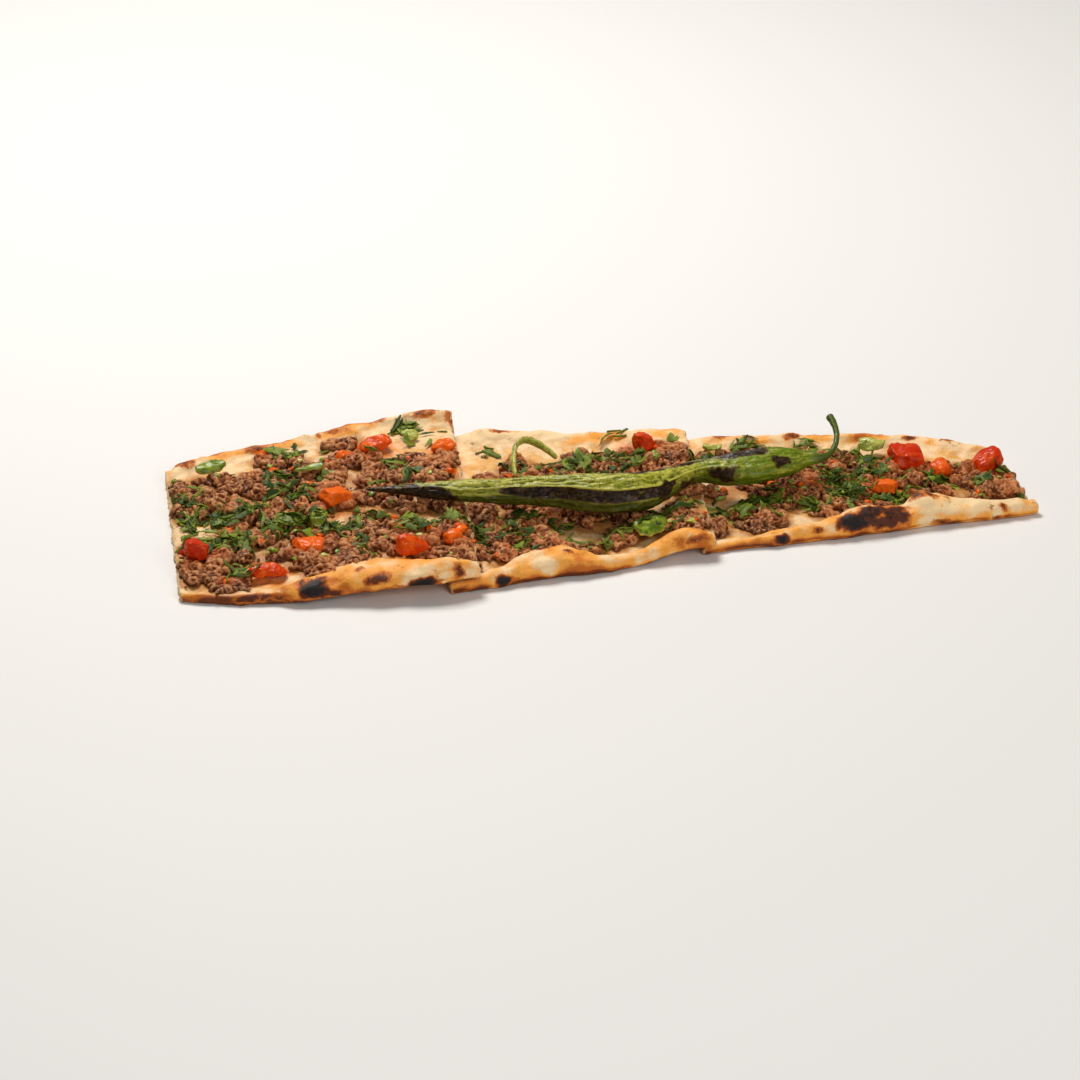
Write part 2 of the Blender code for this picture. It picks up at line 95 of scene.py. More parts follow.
# Burnt and browned places on the rims: (x, y, z, half length, half width, burn); over 1 is black.
SCORCHES = (
    (-160.8, -78.5, 9.2, 8.5, 6.8, 1.5), (-151.0, -82.5, 6.0, 5.5, 3.5, 0.95),
    (-136.2, -76.4, 14.6, 3.4, 2.6, 0.95), (-130.3, -84.5, 12.7, 7.6, 3.6, 1.0),
    (-106.6, -88.9, 9.7, 9.5, 4.0, 1.6), (-118.0, -89.0, 7.0, 7.0, 3.0, 0.9),
    (-89.3, -88.6, 13.7, 4.4, 4.2, 0.9), (-191.5, -73.1, 3.7, 16.0, 3.2, 1.0),
    (-176.0, -76.0, 4.0, 8.0, 3.0, 0.8),
    (-65.5, -86.6, 4.0, 5.6, 3.8, 1.4), (-43.0, -70.8, 12.1, 7.5, 3.4, 0.95),
    (-31.0, -76.8, 11.9, 4.4, 2.2, 0.85), (36.0, -80.9, 11.1, 7.0, 3.4, 0.85),
    (28.0, -78.0, 10.0, 6.0, 2.8, 0.75),
    (82.3, -78.8, 4.4, 5.6, 3.6, 1.4), (101.7, -78.4, 6.9, 3.2, 2.4, 0.85),
    (120.0, -77.5, 9.6, 8.0, 5.6, 1.45), (133.0, -74.5, 12.2, 15.0, 6.4, 1.25),
    (137.0, -78.6, 8.0, 9.0, 5.0, 1.1), (145.0, -76.5, 9.6, 9.0, 6.6, 1.15),
    (161.5, -67.0, 13.4, 7.0, 4.6, 0.95), (174.4, -69.2, 10.6, 2.6, 2.4, 0.95),
    (202.4, -77.4, 7.8, 3.8, 3.2, 0.95), (198.0, -79.0, 2.2, 4.0, 2.0, 0.8),
    (168.0, -79.0, 3.0, 6.0, 2.4, 0.75),
    (-203.7, 76.5, 6.8, 9.0, 5.0, 0.8), (-161.4, 82.3, 8.6, 8.0, 4.0, 0.75),
    (-121.9, 86.0, 10.4, 14.0, 4.5, 0.85), (-68.6, 80.7, 19.4, 14.0, 4.5, 0.72),
    (-56.5, 74.0, 19.4, 3.6, 6.5, 0.8), (-96.0, 86.0, 15.0, 9.0, 3.6, 0.85),
    (182.1, 9.1, 8.3, 5.0, 2.4, 0.9), (87.2, 35.5, 8.5, 8.0, 2.6, 0.8),
    (122.0, 25.5, 8.5, 6.0, 2.6, 0.9), (203.0, 1.0, 8.0, 9.0, 3.0, 0.8),
    (-30.0, 69.0, 9.4, 8.0, 3.0, 0.7), (12.0, 60.0, 9.4, 9.0, 2.6, 0.65),
)

# Stretches of the front rim that are baked darker low down: (x, half length, extra toast)
DARKER_FRONTS = ((-197.0, 30.0, 1.0), (-125.0, 26.0, 0.3), (60.0, 20.0, 0.15))

# Stretches of the crust that have stayed pale: (x, y, half length, half width)
PALE_PATCHES = (
    (-80.0, 66.0, 36.0, 20.0), (-15.0, 62.0, 46.0, 11.0), (192.0, 2.0, 32.0, 9.0), (108.0, 26.0, 26.0, 8.0),
    (183.0, -73.0, 36.0, 13.0), (-170.0, 70.0, 26.0, 9.0),
)

# Larger blisters in the crust: (x, y, z, radius, height)
BUBBLES = (
    (161.5, -66.6, 13.4, 9.5, 1.8), (-136.5, -77.0, 14.5, 5.0, 0.7), (-43.0, -71.5, 12.3, 8.0, 0.8),
    (173.0, -69.5, 11.5, 4.5, 0.8), (132.0, -74.0, 12.6, 10.0, 0.8), (201.0, -76.0, 8.6, 5.0, 0.7),
    (-105.0, -84.0, 15.2, 6.0, 0.6), (31.0, -76.0, 11.5, 6.0, 0.6), (-62.0, 74.0, 20.0, 6.0, 0.6),
)

# Places without meat, and places where it is heaped: (x, y, half length, half width)
BARE_PATCHES = (
    (-175.0, 71.0, 9.0, 13.0), (-133.5, -14.0, 9.0, 9.5), (-121.5, 25.0, 4.5, 16.0),
    (-179.0, -47.0, 7.0, 15.0), (-176.0, 27.0, 4.5, 9.0), (-166.0, -48.0, 4.0, 7.0),
    (-80.0, 66.0, 28.0, 16.0), (-204.0, 36.0, 3.0, 5.0), (-123.0, -71.0, 10.0, 5.0),
    (-49.0, 56.0, 8.0, 28.0), (0.0, 54.0, 40.0, 13.0), (-14.5, -52.0, 8.5, 12.0),
    (10.0, -66.0, 12.0, 4.0), (32.0, 46.0, 13.0, 7.0), (56.5, -49.0, 6.0, 10.0),
    (123.0, 22.0, 16.0, 7.0), (158.0, -1.0, 9.0, 8.0), (198.0, -4.0, 20.0, 8.0),
    (98.0, -64.0, 15.0, 6.0), (183.5, -44.0, 5.0, 5.0), (86.0, -43.0, 8.0, 6.0),
    (150.0, -52.0, 6.0, 6.0), (30.0, -34.0, 18.0, 5.0),
)
HEAPS = (
    (-208.0, -48.0, 17.0, 13.0), (-152.0, -50.0, 20.0, 14.0), (-137.0, 37.0, 14.0, 22.0),
    (-168.0, 44.0, 9.0, 13.0), (-192.0, 36.0, 11.0, 10.0), (-92.0, 24.0, 27.0, 16.0),
    (-112.0, -32.0, 17.0, 20.0), (-91.0, -60.0, 13.0, 17.0), (-83.0, -70.0, 8.0, 10.0),
    (-210.0, 57.0, 7.0, 8.0), (-60.0, -50.0, 11.0, 25.0), (-23.0, 30.0, 20.0, 13.0),
    (-36.5, -56.0, 14.0, 7.0), (-2.0, -53.0, 9.0, 11.0), (24.0, 18.0, 12.0, 12.0),
    (53.0, 13.0, 11.0, 10.0), (40.0, -62.0, 12.0, 12.0), (57.0, -65.0, 6.0, 7.0),
    (77.0, -60.0, 10.0, 13.0), (107.0, -38.0, 11.0, 14.0), (132.0, -55.0, 8.0, 6.0),
    (204.0, -44.0, 18.0, 19.0), (173.0, -38.0, 6.0, 9.0), (111.0, -54.0, 8.0, 6.0),
)

# Where the chopped herbs lie thick: (x, y, half length, half width, leaves)
HERB_PATCHES = (
    (-206, 28, 7, 9, 7), (-206, 7, 9, 10, 13), (-191, 7, 12, 12, 22), (-196, -21, 14, 9, 24),
    (-193, -50, 5, 10, 6), (-150, 72, 8, 10, 13), (-155, 43, 5, 12, 10), (-148, 21, 6, 8, 7),
    (-156, -10, 10, 7, 17), (-138, -24, 12, 8, 20), (-129, -50, 4, 7, 5), (-115, -25, 4, 6, 4),
    (-102, -40, 4, 8, 6), (-81, 74, 6, 6, 10), (-99, 32, 6, 7, 6), (-92, 14, 4, 8, 4),
    (-110, 12, 4, 5, 2), (-79, -38, 3, 8, 4), (-70, -46, 5, 9, 7), (-92, -33, 5, 8, 5),
    (-176, 14, 9, 9, 11), (-170, -8, 8, 8, 9),
    (-48, -48, 8, 15, 10), (-25, -42, 6, 8, 7), (-1, 20, 12, 9, 15), (-38, 52, 4, 4, 1),
    (24, 17, 12, 10, 13), (26, 50, 4, 4, 3), (-5, -60, 6, 6, 5), (29, -52, 8, 11, 10),
    (12, -57, 8, 6, 5), (-30, 24, 12, 8, 4), (60, -44, 6, 11, 5), (-36, -30, 10, 6, 5),
    (94, 24, 8, 6, 9), (126, 17, 5, 6, 6), (85, -42, 14, 8, 17), (150, -7, 9, 10, 16),
    (162, -18, 7, 9, 6), (127, -27, 8, 13, 16), (128, -46, 11, 12, 18), (108, -52, 7, 5, 6),
    (153, -52, 10, 8, 12), (199, -52, 5, 5, 4), (144, -25, 10, 8, 10), (68, 8, 9, 7, 6),
    (180, -40, 8, 8, 4), (70, -48, 8, 9, 5), (186, -28, 7, 7, 3), (215, -40, 5, 8, 2),
)
# What the random draws of the leaves start from.
HERB_SEED = 4
# Rows of points along one leaf.
LEAF_ROWS = 8
# Sizes that a leaf is cut to, and the share of the leaves that have each.
LEAF_SIZES = (2.4, 3.2, 4.2, 5.6)
LEAF_SHARES = (0.42, 0.31, 0.2, 0.07)
LEAF_THICKNESS = 0.26
# No leaf's middle lies within this distance of the back edge.
LEAF_MARGIN = 6
# What the random draws of the stems start from, and the rings and sides of one stem.
STEM_SEED = 8
STEM_RINGS = 7
STEM_SIDES = 6

# Each diced tomato: its colour from red, 0, to orange, 1, and how much of its height has not slumped.
TOMATO_RIPENESS = {
    "tomato_left_end": (0.15, 0.95), "tomato_front_flat": (0.4, 0.72), "tomato_centre": (0.9, 0.8),
    "tomato_sunken": (0.8, 0.62), "tomato_crust_side": (0.45, 0.8), "tomato_back_long": (0.5, 0.66),
    "tomato_back_small": (0.85, 0.66), "tomato_chip": (0.85, 0.7), "tomato_middle_back": (0.35, 0.85),
    "tomato_large": (0.25, 0.84), "tomato_beside_large": (0.6, 0.75), "tomato_right_end": (0.3, 0.86),
    "tomato_soft": (0.75, 0.75),
}
# Small scraps of tomato that have no solid: (x, y, radius, colour from red to orange)
TOMATO_SCRAPS = (
    (-216.0, -20.0, 3.4, 0.1), (-191.0, -6.0, 3.6, 0.9), (-200.5, -58.0, 2.6, 0.8),
    (-79.5, -52.0, 4.0, 0.9), (-160.0, 76.0, 3.6, 0.8), (-67.5, 20.0, 3.2, 0.9), (-95.0, -47.0, 3.2, 0.95),
    (176.0, -21.0, 3.4, 0.7), (2.0, 33.0, 2.8, 0.8), (114.0, -30.0, 2.6, 0.8), (30.0, 38.0, 3.0, 0.7),
    (-120.0, 52.0, 4.0, 0.7), (45.0, 26.0, 2.6, 0.9), (-30.0, -30.0, 2.6, 0.9),
)
# The finely chopped tomato: its colour from red to orange, and what its random draws start from.
TOMATO_BITS_ORANGE = 0.65
TOMATO_BITS_SEED = 51
# Height of a scrap of tomato as a share of its radius, and the seed of the first scrap.
TOMATO_FLATNESS = 0.45
TOMATO_SCRAP_SEED = 1

GREEN_NODES = (
    "green_strip_back_left", "green_strip_back", "green_strip_front", "green_ring", "green_flat_front",
    "green_strip_joint", "green_chunk",
)
# How much of a strip's skin gives way to pale flesh, and how much on the strips that aren't named.
GREEN_PALENESS = {"green_ring": 0.75, "green_chunk": 1.1, "green_strip_joint": 0.85, "green_flat_front": 0.35}
USUAL_PALENESS = 0.1
# Small scraps of green pepper that have no solid: (x, y, radius)
GREEN_SCRAPS = (
    (188.0, -46.0, 3.2), (-142.0, -47.0, 3.0), (-118.0, -44.0, 2.8), (-100.0, -50.0, 3.2),
    (-24.0, -54.0, 3.4), (-33.0, -52.0, 2.6), (48.0, -46.0, 3.0), (60.0, -52.0, 3.4), (-174.0, -36.0, 3.2),
    (-82.0, 14.0, 2.6), (-130.0, 60.0, 3.0), (146.0, 6.0, 2.8), (170.0, -30.0, 2.8), (-6.0, 8.0, 3.0),
    (40.0, 8.0, 2.8), (100.0, 12.0, 3.0), (-160.0, 26.0, 3.0), (196.0, -30.0, 2.6), (6.0, -60.0, 2.8),
    (-200.0, 46.0, 2.6),
)
# What the random draws of the finely chopped green pepper start from.
GREEN_BITS_SEED = 52
# Height of a scrap of green pepper as a share of its radius, and the seed of the first scrap.
GREEN_FLATNESS = 0.35
GREEN_SCRAP_SEED = 31

# Smallest and largest radius of the finely chopped vegetable.
BIT_RADII = (1.4, 3.0)
# Scraps over this radius are made of more faces.
FINER_OVER = 3

# Burnt skin on the grilled pepper: (x, y, z, half length, half width, burn)
PEPPER_SCORCHES = (
    (-112.0, -4.0, 20.0, 24.0, 12.0, 1.9), (-98.0, -14.5, 21.5, 10.0, 5.5, 1.6),
    (-91.0, -19.5, 21.5, 11.0, 5.2, 1.6), (-82.0, -23.5, 21.0, 8.0, 4.4, 1.45),
    (62.0, -35.5, 23.0, 12.0, 5.0, 1.25), (94.0, -35.5, 27.2, 6.4, 3.0, 1.6),
    (30.0, -45.0, 22.6, 10.0, 4.4, 1.3), (44.0, -35.0, 18.0, 9.0, 4.0, 1.0),
)
# The ridge that runs along the grilled pepper's front, and the foot of the burnt band under it.
PEPPER_RIDGE = (
    (-102.6, -11.7, 23.5), (-88.0, -17.9, 25.4), (-74.0, -24.3, 24.9), (-54.0, -27.6, 25.6),
    (-39.0, -31.4, 26.2), (-24.0, -36.9, 26.9), (-10.6, -44.7, 28.1), (3.8, -49.9, 28.2),
    (14.2, -50.4, 28.4), (25.7, -47.2, 26.8), (39.4, -37.1, 25.3), (52.4, -29.9, 24.6), (71.3, -38.3, 27.5),
)
PEPPER_BAND_FOOT = (
    (-58.0, -29.8, 23.6), (-52.0, -30.9, 22.4), (-39.7, -35.0, 20.9), (-25.3, -40.3, 21.4),
    (-6.6, -49.6, 21.1), (3.2, -52.2, 21.0), (13.7, -52.7, 21.4), (25.5, -48.4, 20.1), (36.0, -42.0, 22.1),
)
# How far the pepper's neck lies from the tip of its stalk, and the radius of its body.
PEPPER_NECK = 22
PEPPER_RADIUS = 9

# The stage, in metres: half the floor's side, and each light's place, size and colour.
FLOOR_REACH = 6
FLOOR_ROUGHNESS = 0.6
KEY_LIGHT = ((-0.16, 0.82, 1.35), 0.6, (1.0, 0.97, 0.93))
FILL_LIGHT = ((0.45, -1.35, 0.85), 1.0, (1.0, 0.98, 0.96))
SKY_COLOUR = (1.0, 0.98, 0.95, 1.0)
# The camera's place in metres, how far it tilts up from straight down and turns, and its lens.
CAMERA_PLACE = (-0.38478, -1.42330, 0.76047)
CAMERA_TILT = math.radians(61.915)
CAMERA_TURN = math.radians(-14.1622)
CAMERA_LENS = 105
CAMERA_SENSOR = 36


# ---------------------------------------------------------------- meshes as arrays


def coordinates(mesh):
    """The place of every point of a mesh."""
    flat = np.empty(3 * len(mesh.vertices), np.float32)
    mesh.vertices.foreach_get("co", flat)
    return flat.reshape(-1, 3).astype(float)


def facing(mesh):
    """The outward direction at every point of a mesh."""
    flat = np.empty(3 * len(mesh.vertices), np.float32)
    mesh.vertices.foreach_get("normal", flat)
    return flat.reshape(-1, 3).astype(float)


def edge_pairs(mesh):
    """The two points of every edge, by number."""
    flat = np.empty(2 * len(mesh.edges), np.int32)
    mesh.edges.foreach_get("vertices", flat)
    return flat.reshape(-1, 2)


def place(mesh, points):
    """Moves every point of a mesh to its new place."""
    mesh.vertices.foreach_set("co", points.astype(np.float32).ravel())
    mesh.update()


def paint(mesh, name, values):
    """Keeps one number for each point, or one for them all, which a finish reads by name."""
    layer = mesh.attributes.get(name) or mesh.attributes.new(name, "FLOAT", "POINT")
    numbers = np.zeros(len(mesh.vertices), np.float32) + np.asarray(values, np.float32)
    layer.data.foreach_set("value", numbers)


def mesh_of(name, points, faces):
    """A new mesh from its points and faces."""
    made = bpy.data.meshes.new(name)
    made.from_pydata(np.asarray(points).tolist(), [], faces if isinstance(faces, list) else faces.tolist())
    made.update()
    return made


def averaged(values, pairs, rounds):
    """Values at the points of a mesh, each drawn halfway to its neighbours several times over."""
    count = np.bincount(pairs.ravel(), minlength=len(values)).astype(float)
    near, far = pairs[:, 0], pairs[:, 1]
    columns = values.reshape(len(values), -1).copy()
    for _ in range(rounds):
        for k in range(columns.shape[1]):
            total = np.bincount(near, columns[far, k], len(values))
            total += np.bincount(far, columns[near, k], len(values))
            columns[:, k] += 0.5 * (total / np.maximum(count, 1) - columns[:, k])
    return columns.reshape(values.shape)


def lumps(points, size, seed):
    """Smooth random heights from about -1 to 1, over lumps of one size or of three."""
    spread = points / (np.asarray(size) * MM) + seed * SEED_SHIFT
    return np.array([noise.noise(spot) for spot in spread.tolist()])


def creases(points, size, seed):
    """Heights from about -1 to 1 with sharp crests, over folds of one size or of three."""
    return 1 - 2 * np.abs(lumps(points, size, seed))


def smooth_step(low, high, values):
    """0 up to the low value, 1 from the high one on, and a smooth rise between; low may be over high."""
    share = np.clip((values - low) / (high - low), 0.0, 1.0)
    return share * share * (3 - 2 * share)


def hollows(mesh, rounds, depth):
    """How far each point lies in a crease, from 0 on a ridge to 1 in a hollow of the given depth."""
    points = coordinates(mesh)
    smooth = averaged(points, edge_pairs(mesh), rounds)
    inward = ((smooth - points) * facing(mesh)).sum(axis=1)
    return np.clip(0.5 + 0.5 * inward / (depth * MM), 0.0, 1.0)


def remeshed(name, source, voxel):
    """A new mesh of even small faces round everything that the source mesh holds."""
    holder = bpy.data.objects.new(name, source)
    skin = holder.modifiers.new("skin", "REMESH")
    skin.mode = "VOXEL"
    skin.voxel_size = voxel
    skin.use_smooth_shade = True
    return applied(holder, name)


def applied(holder, name):
    """What an object's modifiers make of its mesh, as a new mesh; the object itself goes."""
    bpy.context.scene.collection.objects.link(holder)
    graph = bpy.context.evaluated_depsgraph_get()
    made = bpy.data.meshes.new_from_object(holder.evaluated_get(graph))
    bpy.data.objects.remove(holder)
    made.name = name
    return made


def thinned(mesh, most):
    """The same shape with at most about this many triangles, and the fewest where it is flat."""
    mesh.calc_loop_triangles()
    share = most / len(mesh.loop_triangles)
    if share >= 1:
        return mesh
    holder = bpy.data.objects.new("thinned", mesh)
    fewer = holder.modifiers.new("fewer", "DECIMATE")
    fewer.ratio = share
    name = mesh.name
    made = applied(holder, name)
    bpy.data.meshes.remove(mesh)
    made.name = name
    return made


def joined(name, meshes):
    """One mesh from several, with what was painted on them."""
    made = bmesh.new()
    for mesh in meshes:
        made.from_mesh(mesh)
    result = bpy.data.meshes.new(name)
    made.to_mesh(result)
    made.free()
    for mesh in meshes:
        bpy.data.meshes.remove(mesh)
    result.shade_smooth()
    return result


def tree_of(mesh):
    """A mesh's faces, sorted so that rays find them quickly."""
    faces = [tuple(face.vertices) for face in mesh.polygons]
    return BVHTree.FromPolygons(coordinates(mesh).tolist(), faces)


def height_at(trees, x, y):
    """The highest surface over a place, or None beside them all."""
    hits = [tree.ray_cast(Vector((x, y, ABOVE)), DOWN)[0] for tree in trees]
    levels = [hit.z for hit in hits if hit is not None]
    return max(levels) if levels else None


def in_ellipse(x, y, patch):
    """How far inside an oval patch a place is: 1 at its middle, 0 at its edge and less outside."""
    across = np.hypot((x / MM - patch[0]) / patch[2], (y / MM - patch[1]) / patch[3])
    return 1.0 - across


def burn_at(points, places, seed):
    """The strongest burn at each point, from places given as an oval spot on a surface, with ragged edges."""
    burn = np.zeros(len(points))
    ragged = 0.5 * lumps(points, 6.5, seed) + 0.3 * lumps(points, 2.6, seed + 1)
    for x, y, z, half_length, half_width, strength in places:
        along = (points[:, 0] / MM - x) / half_length
        around = np.hypot(points[:, 1] / MM - y, points[:, 2] / MM - z) / half_width
        burn = np.maximum(burn, strength * (1 - smooth_step(0.25, 1.5, np.hypot(along, around) + ragged)))
    return burn


def kept_inside(points):
    """The points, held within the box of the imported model."""
    return np.clip(points, np.array(frame_box[0]), np.array(frame_box[1]))


def add_piece(name, mesh, material, slot_name, *nodes):
    """Puts a finished piece in the scene, in place of the solids that it stands for."""
    mesh.materials.clear()
    mesh.materials.append(material)
    mesh.shade_smooth()
    piece = bpy.data.objects.new(name, mesh)
    bpy.context.scene.collection.objects.link(piece)
    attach(piece, "root")
    if nodes:
        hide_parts(*nodes)


# ---------------------------------------------------------------- finishes


class Finish:
    """One procedural finish, built node by node round its shader."""

    def __init__(self, name):
        """A new material with a plain shader, placed by the object's own axes."""
        self.material = bpy.data.materials.new(name)
        self.material.use_nodes = True
        self.tree = self.material.node_tree
        self.shader = self.tree.nodes["Principled BSDF"]
        self.position = self.tree.nodes.new("ShaderNodeTexCoord").outputs["Object"]

    def feed(self, socket, value):
        """Links a socket to another one, or sets it to a plain value."""
        if isinstance(value, bpy.types.NodeSocket):
            self.tree.links.new(value, socket)
        elif socket.type == "RGBA":
            socket.default_value = (*value[:3], 1.0)
        else:
            socket.default_value = value

    def noise(self, size, detail, stretch=None, distortion=0.0):
        """Cloudy values round 0.5, over lumps of the given size in millimetres."""
        position = self.position
        if stretch:
            mapping = self.tree.nodes.new("ShaderNodeMapping")
            mapping.inputs["Scale"].default_value = stretch
            self.feed(mapping.inputs["Vector"], position)
            position = mapping.outputs["Vector"]
        node = self.tree.nodes.new("ShaderNodeTexNoise")
        self.feed(node.inputs["Vector"], position)
        node.inputs["Scale"].default_value = 1000.0 / size
        node.inputs["Detail"].default_value = detail
        node.inputs["Roughness"].default_value = NOISE_ROUGHNESS
        node.inputs["Distortion"].default_value = distortion
        return node.outputs["Fac"]

    def cells(self, size):
        """Distance from the middle of the nearest cell, with cells of the given size in millimetres."""
        node = self.tree.nodes.new("ShaderNodeTexVoronoi")
        self.feed(node.inputs["Vector"], self.position)
        node.inputs["Scale"].default_value = 1000.0 / size
        return node.outputs["Distance"]

    def painted(self, name):
        """What was painted on the mesh under this name."""
        node = self.tree.nodes.new("ShaderNodeAttribute")
        node.attribute_name = name
        return node.outputs["Fac"]

    def math(self, operation, first, second=0.0):
        """One step of arithmetic on one value or two."""
        node = self.tree.nodes.new("ShaderNodeMath")
        node.operation = operation
        self.feed(node.inputs[0], first)
        self.feed(node.inputs[1], second)
        return node.outputs[0]

    def times(self, first, second):
        """The product of two values."""
        return self.math("MULTIPLY", first, second)

    def plus(self, first, second, share):
        """first + share * (second - 0.5), for breaking up an edge with noise."""
        moved = self.times(self.math("SUBTRACT", second, 0.5), share)
        return self.math("ADD", first, moved)

    def band(self, value, low, high, lowest=0.0, highest=1.0):
        """The lowest result up to the low value, the highest from the high one on, a smooth rise between."""
        node = self.tree.nodes.new("ShaderNodeMapRange")
        node.interpolation_type = "SMOOTHSTEP"
        self.feed(node.inputs["Value"], value)
        node.inputs["From Min"].default_value = low
        node.inputs["From Max"].default_value = high
        node.inputs["To Min"].default_value = lowest
        node.inputs["To Max"].default_value = highest
        return node.outputs["Result"]

    def mix(self, share, first, second):
        """The first colour where the share is 0 and the second where it is 1."""
        node = self.tree.nodes.new("ShaderNodeMix")
        node.data_type = "RGBA"
        # The two colours are this node's inputs 6 and 7, and the mixed one is its output 2.
        self.feed(node.inputs["Factor"], share)
        self.feed(node.inputs[6], first)
        self.feed(node.inputs[7], second)
        return node.outputs[2]

    def colour(self, value):
        """The colour of the surface."""
        self.feed(self.shader.inputs["Base Color"], value)

    def roughness(self, value):
        """How dull the surface is, from 0 to 1."""
        self.feed(self.shader.inputs["Roughness"], value)

    def bump(self, height, depth):
        """Fine relief of the given depth in millimetres."""
        node = self.tree.nodes.new("ShaderNodeBump")
        node.inputs["Distance"].default_value = depth * MM
        node.inputs["Strength"].default_value = 1.0
        self.feed(node.inputs["Height"], height)
        self.feed(self.shader.inputs["Normal"], node.outputs["Normal"])

    def set(self, **values):
        """Sets sockets of the shader to values that hold all over the surface."""
        for name, value in values.items():
            self.shader.inputs[name.replace("_", " ")].default_value = value


def bread_finish(look):
    """Cream bread that turns gold, brown and black where it is toasted, with juice from the topping, and
    painted shade in the creases of the crust and the pores of the cut crumb.
    """
    f = Finish("baked_bread")
    fine = f.noise(1.0, 4)
    cloudy = f.noise(8.0, 4)
    mottled = f.noise(3.2, 4, distortion=0.5)
    toast = f.plus(f.plus(f.plus(f.painted("toast"), cloudy, 0.55), mottled, 0.45), fine, 0.3)
    colour = f.mix(f.band(toast, -0.05, 0.4), look.crumb_colour, look.gold_colour)
    colour = f.mix(f.band(toast, 0.4, 0.85), colour, look.toast_colour)
    colour = f.mix(f.band(toast, 0.9, 1.3, 0.0, 0.85), colour, look.brown_colour)
    inside = f.painted("inside")
    stain = f.plus(f.noise(11.0, 4, distortion=0.8), fine, 0.25)
    damp = f.mix(f.band(stain, 0.44, 0.6), look.crumb_colour, look.damp_colour)
    colour = f.mix(f.times(inside, 0.9), colour, damp)
    juice = f.plus(f.plus(f.painted("juice"), cloudy, 0.9), fine, 0.3)
    colour = f.mix(f.band(juice, 0.05, 0.9, 0.0, 0.9), colour, look.juice_colour)
    oil = f.plus(f.plus(f.painted("oil"), cloudy, 0.9), fine, 0.25)
    colour = f.mix(f.band(oil, 0.35, 1.1, 0.0, 0.7), colour, look.oil_colour)
    cut = f.painted("cut")
    # Painted shade: the pores of the crumb at the cuts are darker.
    crumb = f.mix(f.band(f.plus(f.cells(1.6), cloudy, 0.5), 0.1, 0.6), look.crumb_pore_shade_colour, look.crumb_colour)
    colour = f.mix(f.times(cut, 0.9), colour, crumb)
    burn = f.plus(f.plus(f.painted("burn"), f.noise(3.2, 4), 0.9), fine, 0.6)
    colour = f.mix(f.band(burn, 0.2, 0.62), colour, look.toast_colour)
    colour = f.mix(f.band(burn, 0.55, 0.95), colour, look.brown_colour)
    colour = f.mix(f.band(burn, 1.0, 1.35), colour, look.char_colour)
    specks = f.times(f.band(f.noise(3.4, 3), 0.6, 0.68), f.band(f.noise(17.0, 2), 0.5, 0.62))
    specks = f.times(specks, f.band(inside, 0.8, 0.2, 0.1, 0.7))
    colour = f.mix(specks, colour, look.freckle_colour)
    # Painted shade: the creases of the crust are darkened with the toast colour.
    crease_shade = f.band(f.painted("crease"), 0.6, 0.95, 0.0, 0.35)
    colour = f.mix(crease_shade, colour, look.toast_colour)
    f.colour(colour)
    wet = f.math("MAXIMUM", f.band(oil, 0.35, 0.9), f.times(inside, 0.6))
    f.roughness(f.band(wet, 0.0, 1.0, 0.55, 0.3))
    relief = f.plus(f.times(f.noise(2.6, 5), 0.8), fine, 0.5)
    relief = f.math("SUBTRACT", relief, f.times(cut, f.band(f.cells(1.3), 0.5, 0.0)))
    f.bump(relief, 0.5)
    f.set(Subsurface_Weight=0.08, Subsurface_Scale=0.003, Specular_IOR_Level=0.25)
    f.set(Subsurface_Radius=(1.0, 0.55, 0.3))
    return f.material


def meat_finish(look):
    """Browned minced meat: warm brown grains with pale fat flecks and an oily shine; painted shade in the
    creases and, with soaked juice, low down between the clumps; painted highlights in the fat colour on the
    crests.
    """
    f = Finish("browned_mince")
    grain = f.noise(1.2, 4)
    crumbs = f.noise(2.8, 2)
    tone = f.plus(f.painted("tone"), f.noise(5.0, 3), 1.2)
    colour = f.mix(f.band(tone, 0.45, 0.95), look.meat_colour, look.pink_colour)
    colour = f.mix(f.band(tone, 0.4, 0.0, 0.0, 0.8), colour, look.seared_colour)
    colour = f.mix(f.band(crumbs, 0.52, 0.66, 0.0, 0.5), colour, look.fat_and_highlight_colour)
    colour = f.mix(f.band(crumbs, 0.46, 0.34, 0.0, 0.55), colour, look.seared_colour)
    # Painted shade darkens the creases between the grains.
    crease = f.plus(f.painted("crease"), grain, 0.3)
    colour = f.mix(f.band(crease, 0.48, 0.92, 0.0, 0.85), colour, look.crease_shade_colour)
    # Painted highlights in the fat colour on the crests of the grains.
    colour = f.mix(f.band(crease, 0.4, 0.1, 0.0, 0.6), colour, look.fat_and_highlight_colour)
    oil = f.plus(f.painted("oil"), f.noise(6.0, 3), 0.9)
    colour = f.mix(f.band(oil, 0.3, 1.0, 0.0, 0.6), colour, look.oil_colour)
    colour = f.mix(f.band(f.noise(4.2, 2), 0.64, 0.7, 0.0, 0.55), colour, look.oil_colour)
    # Painted shade, partly soaked juice: the meat low down between the clumps takes the crease colour.
    colour = f.mix(f.times(f.painted("low"), 0.7), colour, look.crease_shade_colour)
    f.colour(colour)
    dull = f.plus(f.math("MAXIMUM", f.painted("crease"), f.painted("low")), f.noise(2.2, 3), 0.6)
    f.roughness(f.band(dull, 0.2, 0.9, 0.3, 0.85))
    f.bump(f.plus(grain, f.noise(0.6, 3), 0.7), 0.6)
    f.set(Subsurface_Weight=0.04, Subsurface_Scale=0.002, Specular_IOR_Level=0.22)
    f.set(Coat_Weight=0.08, Coat_Roughness=0.15)
    f.set(Subsurface_Radius=(1.0, 0.4, 0.25))
    return f.material


